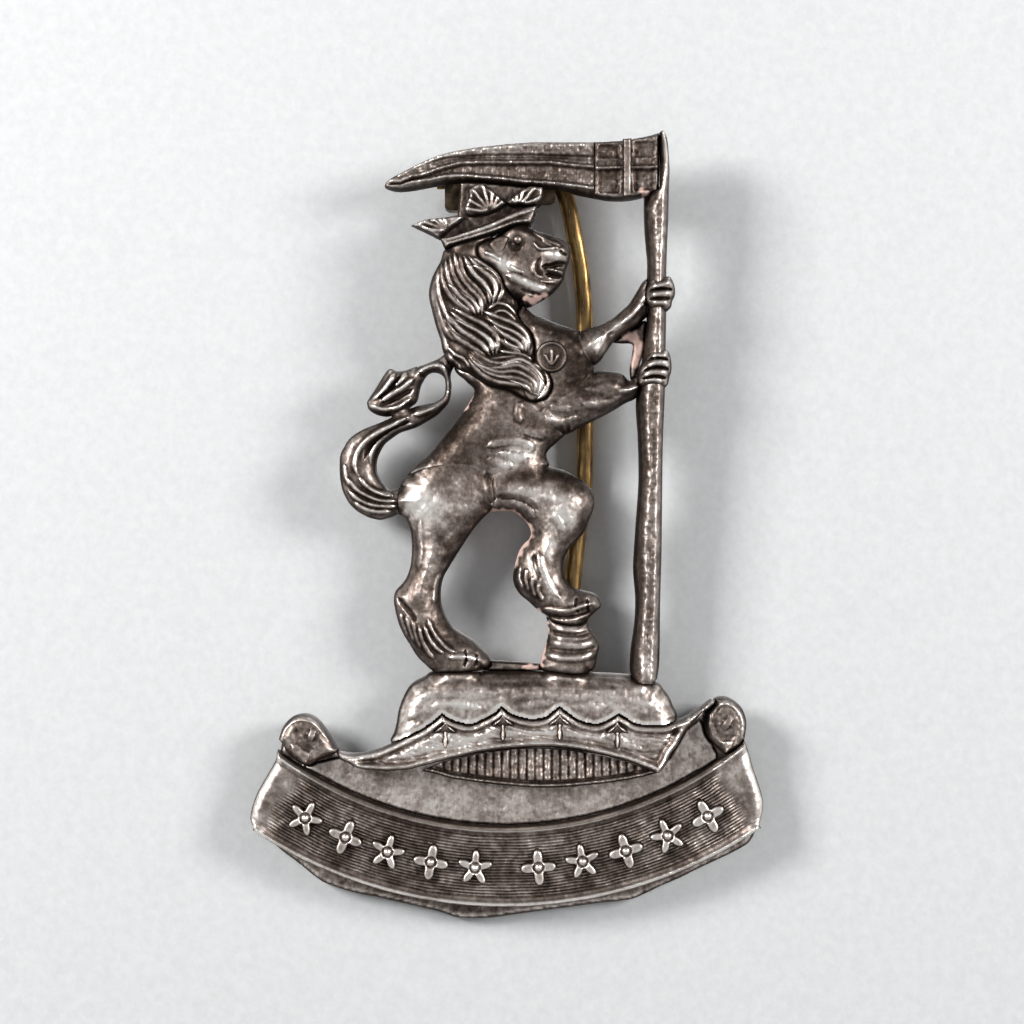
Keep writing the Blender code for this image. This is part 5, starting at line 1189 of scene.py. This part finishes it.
def cushion_relief(points, d, seam):
    """A full, softly wrinkled cap that passes under the fur brim."""
    height = 1.0 + 2.0 * rounded(d, 1.6, 2.0) - 0.35 * (1 - rounded(seam, 0.5))
    height += strokes(points, CUSHION_STROKES) * smoothstep(0.1, 0.5, d)
    height += 0.06 * noise(points, 0.9, 21) + 0.035 * noise(points, 0.3, 22)
    under = contains(points, SHAPES["cap_brim"])
    return np.where(under, np.minimum(height, 1.45), height)


# the brim's outline starts with the scallops and ends with the lower edge
BRIM_TOP = OUTLINES["cap_brim"][:32]
BRIM_BOTTOM = OUTLINES["cap_brim"][-29:]
ERMINE_TOPS = ((-4.55, -14.35), (-0.3, -13.85), (3.9, -13.8), (8.15, -14.4))


def brim_relief(points, d, seam):
    """A turned-up fur brim: a bead along the scallops, a bead below and fine combed fur between."""
    to_top = nearest(points, *spans(through(BRIM_TOP, closed=False), closed=False))[0]
    to_bottom = nearest(points, *spans(through(BRIM_BOTTOM, closed=False), closed=False))[0]
    height = 2.0 + 1.25 * rounded(d, 0.4)
    height += 0.26 * np.exp(-((to_top - 0.32) / 0.16) ** 2) - 0.16 * np.exp(-((to_top - 0.7) / 0.18) ** 2)
    height += (0.26 * np.exp(-((to_bottom - 0.35) / 0.17) ** 2)
               - 0.18 * np.exp(-((to_bottom - 0.8) / 0.2) ** 2))
    combed = points[:, 0] * 0.35 + points[:, 1] + 0.5 * noise(points, 2.4, 23)
    fur = noise(np.column_stack((points[:, 0] * 0.18 - points[:, 1] * 0.05, combed)), 0.2, 24)
    return height + 0.07 * fur * smoothstep(0.4, 0.8, d) + 0.03 * noise(points, 0.2, 25)


def ermine_outline(x, z):
    half = [(0.0, 0.0), (0.22, -0.35), (0.62, -0.6), (0.85, -1.0), (0.4, -0.95), (0.2, -1.15), (0.3, -1.6),
            (0.17, -2.0)]
    right = [(x + dx, z + dz) for dx, dz in half]
    left = [(x - dx, z + dz) for dx, dz in reversed(half[1:])]
    return through(right + [(x, z - 2.15)] + left, 0.08)


LENS_PITCH = 0.62


def lens_relief(points, d, seam):
    """Upright flutes above a bead that follows the lower edge."""
    lower = through([(-6.3, -18.25), (-5.0, -18.55), (-3.9, -18.85), (-0.4, -19.3), (3.0, -19.5),
                     (7.0, -19.2), (9.8, -18.75), (11.1, -18.4)], closed=False)
    to_lower = nearest(points, *spans(lower, closed=False))[0]
    share = (points[:, 0] - 2.4) / LENS_PITCH
    flute = np.sqrt(np.abs(np.cos(math.pi * share)))
    height = 2.0 + 0.24 * flute * smoothstep(0.35, 0.6, to_lower) + 0.06 * noise(points, 0.5, 27)
    height += 0.4 * np.exp(-((to_lower - 0.2) / 0.16) ** 2)
    return height + 0.03 * noise(points, 0.2, 26)


def make_cap():
    struck("cap_cushion", cushion_relief, ["staff", "hind_leg_standing", "stump", "ground_bar"], 0.1,
           tone=0.16)
    struck("cap_brim", brim_relief, [], 0.08, floor=1.55, tone=0.32, gain=3.5)
    for number, (x, z) in enumerate(ERMINE_TOPS, start=1):
        name = f"ermine_spot_{number}"
        SHAPES[name] = ermine_outline(x, z)
        petals = [(0.19, 0.42, [(x, z - 0.8), (x, z - 1.4), (x, z - 2.1)]),
                  (0.19, 0.36, [(x, z - 0.1), (x + 0.35, z - 0.5), (x + 0.75, z - 0.95)]),
                  (0.19, 0.36, [(x, z - 0.1), (x - 0.35, z - 0.5), (x - 0.75, z - 0.95)])]
        struck(name, plateau(3.1, 3.35, 0.2, petals, grain=0.02), [], 0.05, floor=2.9, tone=0.10, gain=4.0)
    struck("cap_lens", lens_relief, ["cap_brim"], 0.07, floor=1.0, tone=0.02, gain=4.0)


def field_relief(points, d, seam):
    """A lightly pitted ground that darkens against the ribbon's bead."""
    pits = np.clip(noise(points, 0.33, 31) - 0.35, 0, 1)
    return 1.2 + 0.28 * rounded(d, 0.25) - 0.07 * pits + 0.02 * noise(points, 0.2, 32)


def flange_relief(points, d, seam):
    """The rough flange left round the scroll by the striking."""
    pits = np.clip(noise(points, 0.3, 33) - 0.3, 0, 1)
    return 0.5 + 0.65 * rounded(d, 0.3) - 0.08 * pits + 0.03 * noise(points, 0.25, 34)


CURL_STROKES = {
    "scroll_curl_left": [
        (0.22, 0.20, [(-16.75, -16.2), (-16.6, -15.3), (-16.0, -14.6), (-15.3, -14.35), (-14.5, -14.5),
                      (-13.8, -15.1), (-13.2, -16.0)]),
        (0.34, -0.14, [(-15.6, -15.1), (-15.5, -15.9), (-15.0, -16.4), (-14.3, -16.6)]),
        (0.62, 0.28, [(-14.7, -15.45), (-14.2, -15.65)]),
        (0.20, -0.16, [(-14.55, -15.5), (-14.35, -15.6)]),
        (0.55, 0.16, [(-15.9, -16.3), (-15.2, -17.0), (-14.6, -17.3)])],
    "scroll_curl_right": [
        (0.22, 0.20, [(15.0, -15.0), (15.1, -14.0), (15.7, -13.3), (16.4, -13.2), (17.1, -13.7),
                      (17.5, -14.6), (17.4, -15.8)]),
        (0.34, -0.14, [(15.5, -14.3), (15.5, -15.2), (16.1, -15.8), (16.9, -15.6)]),
        (0.60, 0.26, [(16.1, -14.5), (16.55, -14.8)]),
        (0.20, -0.16, [(16.25, -14.6), (16.4, -14.7)]),
        (0.50, 0.14, [(16.0, -16.1), (16.6, -16.5)])],
}


def ribbon_sides():
    """The ribbon's end angles as functions of radius: (radii, left angles, right angles)."""
    radii = np.arange(RIBBON_INNER, RIBBON_OUTER + 0.01, 0.055)
    ends = []
    for line in (RIBBON_LEFT, RIBBON_RIGHT):
        places = through(line, closed=False) - np.array(SCROLL_CENTRE)
        radius = np.hypot(*places.T)
        angle = np.arctan2(places[:, 0], -places[:, 1])
        order = np.argsort(radius)
        ends.append(np.interp(radii, radius[order], angle[order]))
    return radii, ends[0], ends[1]


def make_ribbon():
    """The scroll's ribbon on rows that follow its arcs, fine enough for the engraved lines."""
    radii, left, right = ribbon_sides()
    columns = 260
    share = np.linspace(0, 1, columns)
    angle = left[:, None] + (right - left)[:, None] * share[None]
    radius = np.repeat(radii[:, None], columns, 1)
    verts = np.column_stack((SCROLL_CENTRE[0] + (radius * np.sin(angle)).ravel(),
                             SCROLL_CENTRE[1] - (radius * np.cos(angle)).ravel()))
    r, a = radius.ravel(), np.degrees(angle.ravel())
    rows = len(radii)
    cell = (np.arange(rows - 1)[:, None] * columns + np.arange(columns - 1)[None]).ravel()
    quads = np.column_stack((cell, cell + columns, cell + columns + 1, cell + 1))
    faces = np.vstack((quads[:, [0, 1, 2]], quads[:, [0, 2, 3]]))
    p, q, s = (verts[faces[:, k]] for k in range(3))
    turned = (q - p)[:, 0] * (s - p)[:, 1] - (q - p)[:, 1] * (s - p)[:, 0] < 0
    faces[turned] = faces[turned][:, ::-1]
    rim = verts[border(faces)]
    d = nearest(verts, rim[:, 0], rim[:, 1])[0]
    height, wear_and_painted_light = ribbon_relief(verts, r, a, d, faces)
    mesh = shell_mesh("scroll_ribbon", verts, faces, height, 0.85, wear_and_painted_light, np.zeros(len(verts)))
    silver_piece("scroll_ribbon", mesh)


def ribbon_relief(verts, r, a, d, faces):
    """Beads along both edges, engraved lines between them, the ends worn smooth and rubbed bright."""
    base = 1.5 + 0.95 * rounded(d, 0.3)
    upper = np.exp(-((r - RIBBON_INNER - 0.28) / 0.15) ** 2)
    lower = np.exp(-((r - RIBBON_OUTER + 0.32) / 0.17) ** 2)
    wobble = 0.04 * noise(verts, 1.2, 41)
    lines = np.cos(2 * math.pi * (r + wobble) / 0.225)
    within = (smoothstep(RIBBON_INNER + 0.5, RIBBON_INNER + 0.75, r)
              * smoothstep(-RIBBON_OUTER + 0.6, -RIBBON_OUTER + 0.85, -r))
    worn_left = 1 - smoothstep(-33.4, -30.5, a + 0.8 * noise(verts, 1.6, 42))
    worn_right = smoothstep(31.6, 34.2, a + 0.8 * noise(verts, 1.6, 43))
    worn = np.clip(worn_left + worn_right, 0, 1)
    height = base + 0.30 * upper + 0.30 * lower - 0.14 * within + 0.05 * lines * within * (1 - worn)
    height += 0.22 * worn * smoothstep(0.1, 0.7, d) + 0.03 * noise(verts, 0.3, 44)
    near = averaged(height, faces, 7)
    wear_and_painted_light = (0.42 + (height - near) * 3.0 + 0.30 * upper + 0.36 * lower + 0.10 * lines * within * (1 - worn)
            + 0.16 * worn)
    wear_and_painted_light += 0.10 * noise(verts, 1.5, 45) + 0.06 * noise(verts, 0.35, 46)
    # painted shade: the ribbon's edges and side walls are darkened in the colour
    wear_and_painted_light -= 0.55 * (1 - smoothstep(0.0, 0.14, d))
    return height, np.clip(wear_and_painted_light, 0.03, 0.97)


def motif_outline(centre, angle, petals):
    """A rosette whose radius swings between a narrow waist and its petals' tips."""
    turns = np.linspace(0, 2 * math.pi, petals * 16, endpoint=False)
    radius = MOTIF_WAIST + (MOTIF_REACH - MOTIF_WAIST) * np.abs(np.cos(petals * turns / 2)) ** 1.5
    return np.column_stack((centre[0] + radius * np.cos(turns + angle),
                            centre[1] + radius * np.sin(turns + angle)))


def motif_relief(centre):
    """Domed petals round a raised middle."""
    def relief(points, d, seam):
        away = np.hypot(points[:, 0] - centre[0], points[:, 1] - centre[1])
        ring_dip = 0.16 * np.exp(-((away - 0.36) / 0.08) ** 2)
        return 2.3 + 0.62 * rounded(d, 0.24) + 0.14 * np.exp(-(away / 0.2) ** 2) - ring_dip
    return relief


def make_scroll():
    struck("scroll_base", flange_relief, [], 0.16, tone=-0.04, stacked=True)
    struck("scroll_field", field_relief, ["scroll_curl_left", "scroll_curl_right", "scroll_ribbon"], 0.11,
           floor=0.85, tone=0.24, gain=4.0)
    make_ribbon()
    for name, table in CURL_STROKES.items():
        struck(name, plateau(1.3, 2.75, 0.75, table, 0.05), ["scroll_ribbon", "cap_brim"], 0.08, floor=0.85,
               tone=0.06, gain=4.0)
    number = 0
    for first in MOTIF_FIRST_ANGLES:
        for i in range(MOTIFS_PER_SIDE):
            number += 1
            degrees = first + MOTIF_ANGLE_STEP * i
            centre = on_arc(MOTIF_RADIUS, degrees)
            name = f"ribbon_motif_{number:02d}"
            SHAPES[name] = motif_outline(centre, math.radians(degrees + 90), 5 if number % 2 else 4)
            struck(name, motif_relief(centre), [], 0.06, floor=2.1, tone=0.28, gain=4.0)


# ---------------------------------------------------------------- lugs and split pin

LEFT_LUG = (-3.9, 25.7)
RIGHT_LUG = (2.85, 26.3)
LUG_BAR_WIDTH = 1.55
LUG_BAR_DEPTH = 0.9
LUG_LOOP_RADIUS = 1.67
LUG_BACK = 3.95
PIN_ROUTE = [(-5.3, 26.0), (-2.0, 26.0), (1.0, 26.0), (3.3, 25.98), (3.95, 25.7), (4.4, 24.9), (4.75, 23.6),
             (5.05, 22.1), (5.35, 20.6), (5.6, 19.1), (5.8, 16.9), (5.87, 15.2), (5.95, 10.9), (5.9, 7.1),
             (5.85, 3.4), (5.55, 0.7), (5.3, -1.1), (4.95, -4.3), (4.8, -6.6)]
PIN_EYE = (4.75, -9.5)
PIN_EYE_RADIUS = 1.35
PIN_DEPTH_AT_LUGS = 1.9
PIN_DEPTH_AT_EYE = 0.75
PIN_LEG_RADIUS = 0.3
PIN_LEG_OFFSET = 0.32      # from the pin's centre line to each leg's
PIN_LEG_DEPTH = 0.405      # half a leg's depth


def smooth_path(points, step):
    """A smooth path through points in space."""
    made = []
    points = [np.array(p, float) for p in points]
    for i in range(len(points) - 1):
        a, b, c, d = points[max(0, i - 1)], points[i], points[i + 1], points[min(len(points) - 1, i + 2)]
        for t in np.linspace(0, 1, max(1, round(math.dist(b, c) / step)), endpoint=False):
            made.append(0.5 * (2 * b + (c - a) * t + (2 * a - 5 * b + 4 * c - d) * t * t
                               + (3 * b - a - 3 * c + d) * t ** 3))
    made.append(points[-1])
    return np.array(made)


def swept(path, section, across):
    """A closed tube: the section carried along the path. across(tangent) gives its first axis."""
    verts, faces = [], []
    count = len(section)
    for i, here in enumerate(path):
        tangent = path[min(len(path) - 1, i + 1)] - path[max(0, i - 1)]
        tangent /= np.linalg.norm(tangent)
        first = across(tangent)
        second = np.cross(tangent, first)
        verts += [here + first * u + second * v for u, v in section]
    for i in range(len(path) - 1):
        for k in range(count):
            a, b = i * count + k, i * count + (k + 1) % count
            faces.append((a, b, b + count, a + count))
    last = (len(path) - 1) * count
    faces.append(tuple(range(count))[::-1])
    faces.append(tuple(last + k for k in range(count)))
    return verts, faces


def swept_object(name, parts, material, body):
    """One object from several swept tubes."""
    verts, faces = [], []
    for part_verts, part_faces in parts:
        shift = len(verts)
        verts += [tuple(v * MM) for v in part_verts]
        faces += [tuple(k + shift for k in face) for face in part_faces]
    mesh = bpy.data.meshes.new(name)
    mesh.from_pydata(verts, [], faces)
    mesh.update()
    mesh.shade_smooth()
    mesh.set_sharp_from_angle(angle=math.radians(50))
    made = bpy.data.objects.new(name, mesh)
    bpy.context.collection.objects.link(made)
    made.data.materials.append(material)
    return placed(made, name, body)


def make_lug(name, centre):
    """A half loop of flattened wire brazed to a round-ended foot."""
    x, z = centre
    turn_depth = LUG_BACK - LUG_BAR_DEPTH / 2 - LUG_LOOP_RADIUS
    path = [(x, 0.05, z + LUG_LOOP_RADIUS), (x, 0.6, z + LUG_LOOP_RADIUS)]
    for degrees in range(0, 181, 12):
        turn = math.radians(degrees)
        path.append((x, turn_depth + LUG_LOOP_RADIUS * math.sin(turn), z + LUG_LOOP_RADIUS * math.cos(turn)))
    path += [(x, 0.6, z - LUG_LOOP_RADIUS), (x, 0.05, z - LUG_LOOP_RADIUS)]
    bar = [(LUG_BAR_WIDTH / 2 * math.copysign(abs(math.cos(t)) ** 0.6, math.cos(t)),
            LUG_BAR_DEPTH / 2 * math.copysign(abs(math.sin(t)) ** 0.8, math.sin(t)))
           for t in np.linspace(0, 2 * math.pi, 24, endpoint=False)]
    loop = swept(smooth_path(path, 0.25), bar, lambda tangent: np.array((1.0, 0.0, 0.0)))
    reach = LUG_LOOP_RADIUS + LUG_BAR_DEPTH / 2
    foot_path = [(x, y, z) for y in (0.02, 0.06, 0.42, 0.55)]
    shrink = iter((0.97, 1.0, 1.0, 0.86))
    foot_verts, foot_faces = [], []
    count = 40
    for fx, fy, fz in foot_path:
        size = next(shrink)
        for t in np.linspace(0, 2 * math.pi, count, endpoint=False):
            straight = math.copysign(reach - LUG_BAR_WIDTH / 2, math.sin(t))
            foot_verts.append(np.array((fx + LUG_BAR_WIDTH / 2 * size * math.cos(t), fy,
                                        fz + straight * size + LUG_BAR_WIDTH / 2 * size * math.sin(t))))
    for i in range(len(foot_path) - 1):
        for k in range(count):
            a, b = i * count + k, i * count + (k + 1) % count
            foot_faces.append((a, b, b + count, a + count))
    foot_faces.append(tuple(range(count))[::-1])
    foot_faces.append(tuple((len(foot_path) - 1) * count + k for k in range(count)))
    swept_object(name, [loop, (foot_verts, foot_faces)], BRONZE, "badge")


def pin_centre_line():
    """The bent pin's centre from the lugs down to its eye, in space."""
    route = through(PIN_ROUTE, 0.35, closed=False)
    reached = np.concatenate(([0.0], np.cumsum(np.linalg.norm(np.diff(route, axis=0), axis=1))))
    bend = 8.6
    share = np.clip((reached - bend) / (reached[-1] - bend), 0, 1)
    depth = PIN_DEPTH_AT_LUGS + (PIN_DEPTH_AT_EYE - PIN_DEPTH_AT_LUGS) * share
    return np.column_stack((route[:, 0], depth, route[:, 1]))


def sideways(tangent):
    """The direction across the pin in the badge's plane."""
    across = np.cross(tangent, (0.0, 1.0, 0.0))
    return across / np.linalg.norm(across)


def make_split_pin():
    """Two D-shaped legs, flat sides together, that open into a round eye."""
    centre = pin_centre_line()
    section = [(PIN_LEG_RADIUS * (2 * math.cos(t) - 1), PIN_LEG_DEPTH * math.sin(t))
               for t in np.linspace(-math.pi / 2, math.pi / 2, 15)]
    tangent = np.gradient(centre[:, [0, 2]], axis=0)
    tangent /= np.linalg.norm(tangent, axis=1)[:, None]
    side = np.column_stack((-tangent[:, 1], np.zeros(len(centre)), tangent[:, 0]))
    eye = []
    for degrees in np.linspace(68, -248, 41):
        turn = math.radians(degrees)
        eye.append((PIN_EYE[0] + PIN_EYE_RADIUS * math.cos(turn), PIN_DEPTH_AT_EYE,
                    PIN_EYE[1] + PIN_EYE_RADIUS * math.sin(turn)))
    path = np.vstack((centre + side * PIN_LEG_OFFSET, eye, (centre - side * PIN_LEG_OFFSET)[::-1]))
    tube = swept(path, section, sideways)
    swept_object("split_pin", [tube], BRASS, "split_pin")


# ---------------------------------------------------------------- board, light and camera

BOARD_SLOPE = 0.0713       # the badge lies on its scroll's lower edge and its lugs
BOARD_FOOT = -29.4
BOARD_REACH = 260.0
WORLD_STRENGTH = 0.48
CAMERA_TARGET = (0.375, 0.975)
CAMERA_DISTANCE = 213.3
LENS = 100.0


def board_material():
    """Pale grained board, seen from its front only."""
    made = bpy.data.materials.new("board")
    made.use_nodes = True
    tree = made.node_tree
    shader = tree.nodes["Principled BSDF"]
    place = node(tree, "ShaderNodeTexCoord").outputs["Object"]
    grain = noise_texture(tree, place, 1500.0, 4.0, 0.7)
    color = ramp(tree, grain, ((0.3, (0.475, 0.48, 0.482)), (0.7, (0.535, 0.54, 0.54))))
    tree.links.new(color, shader.inputs["Base Color"])
    shader.inputs["Roughness"].default_value = 0.8
    add_bump(tree, shader, grain, 0.15, 0.00005)
    facing = node(tree, "ShaderNodeNewGeometry").outputs["Backfacing"]
    clear = node(tree, "ShaderNodeBsdfTransparent")
    mix = node(tree, "ShaderNodeMixShader", {0: facing, 1: shader.outputs[0], 2: clear.outputs[0]})
    tree.links.new(mix.outputs[0], tree.nodes["Material Output"].inputs["Surface"])
    return made


def make_board():
    """A plain pale board behind the badge, tilted so that scroll and lugs touch it."""
    corners = []
    for x, z in ((-BOARD_REACH, -BOARD_REACH), (BOARD_REACH, -BOARD_REACH), (BOARD_REACH, BOARD_REACH),
                 (-BOARD_REACH, BOARD_REACH)):
        corners.append((x * MM, ((z - BOARD_FOOT) * BOARD_SLOPE + 0.05) * MM, z * MM))
    mesh = bpy.data.meshes.new("board")
    mesh.from_pydata(corners, [], [(0, 1, 2, 3)])
    mesh.update()
    made = bpy.data.objects.new("board", mesh)
    bpy.context.collection.objects.link(made)
    made.data.materials.append(board_material())
    made.visible_shadow = False


def area_light(name, place, target, size, power):
    light = bpy.data.lights.new(name, "AREA")
    light.size = size
    light.energy = power
    made = bpy.data.objects.new(name, light)
    made.location = place
    made.rotation_euler = (Vector(target) - Vector(place)).to_track_quat("-Z", "Y").to_euler()
    bpy.context.collection.objects.link(made)


def make_light():
    """A pale studio that darkens overhead, with a soft lamp on each side and one behind."""
    scene = bpy.context.scene
    world = bpy.data.worlds.new("studio")
    scene.world = world
    world.use_nodes = True
    background = world.node_tree.nodes["Background"]
    background.inputs["Strength"].default_value = WORLD_STRENGTH
    tree = world.node_tree
    direction = node(tree, "ShaderNodeTexCoord").outputs["Generated"]
    upward = node(tree, "ShaderNodeSeparateXYZ", {0: direction}).outputs["Z"]
    shade = ramp(tree, shifted(tree, upward, 0.5, 0.5),
                 ((0.0, (0.97, 0.985, 1.0)), (0.55, (0.93, 0.95, 0.97)), (0.85, (0.42, 0.43, 0.45))))
    tree.links.new(shade, background.inputs["Color"])
    area_light("left_light", (-0.22, -0.17, 0.11), (0, 0, 0), 0.10, 1.12)
    area_light("right_light", (0.24, -0.17, 0.08), (0, 0, 0), 0.10, 0.86)
    area_light("back_light", (0.05, 0.35, 0.15), (0, 0, 0), 0.2, 1.4)
    scene.view_settings.view_transform = "Standard"


def make_camera():
    camera = bpy.data.cameras.new("camera")
    camera.lens = LENS
    camera.sensor_width = 36.0
    camera.clip_start = 0.01
    made = bpy.data.objects.new("camera", camera)
    x, z = CAMERA_TARGET
    made.location = (x * MM, -CAMERA_DISTANCE * MM, z * MM)
    made.rotation_euler = (math.pi / 2, 0.0, 0.0)
    bpy.context.collection.objects.link(made)
    bpy.context.scene.camera = made


make_camera()
make_light()
make_board()
make_scythe()
make_crown()
make_head()
make_mane()
make_forelegs()
make_hind_legs()
make_body()
make_tail()
make_cap()
make_scroll()
make_lug("lug_left", LEFT_LUG)
make_lug("lug_right", RIGHT_LUG)
make_split_pin()
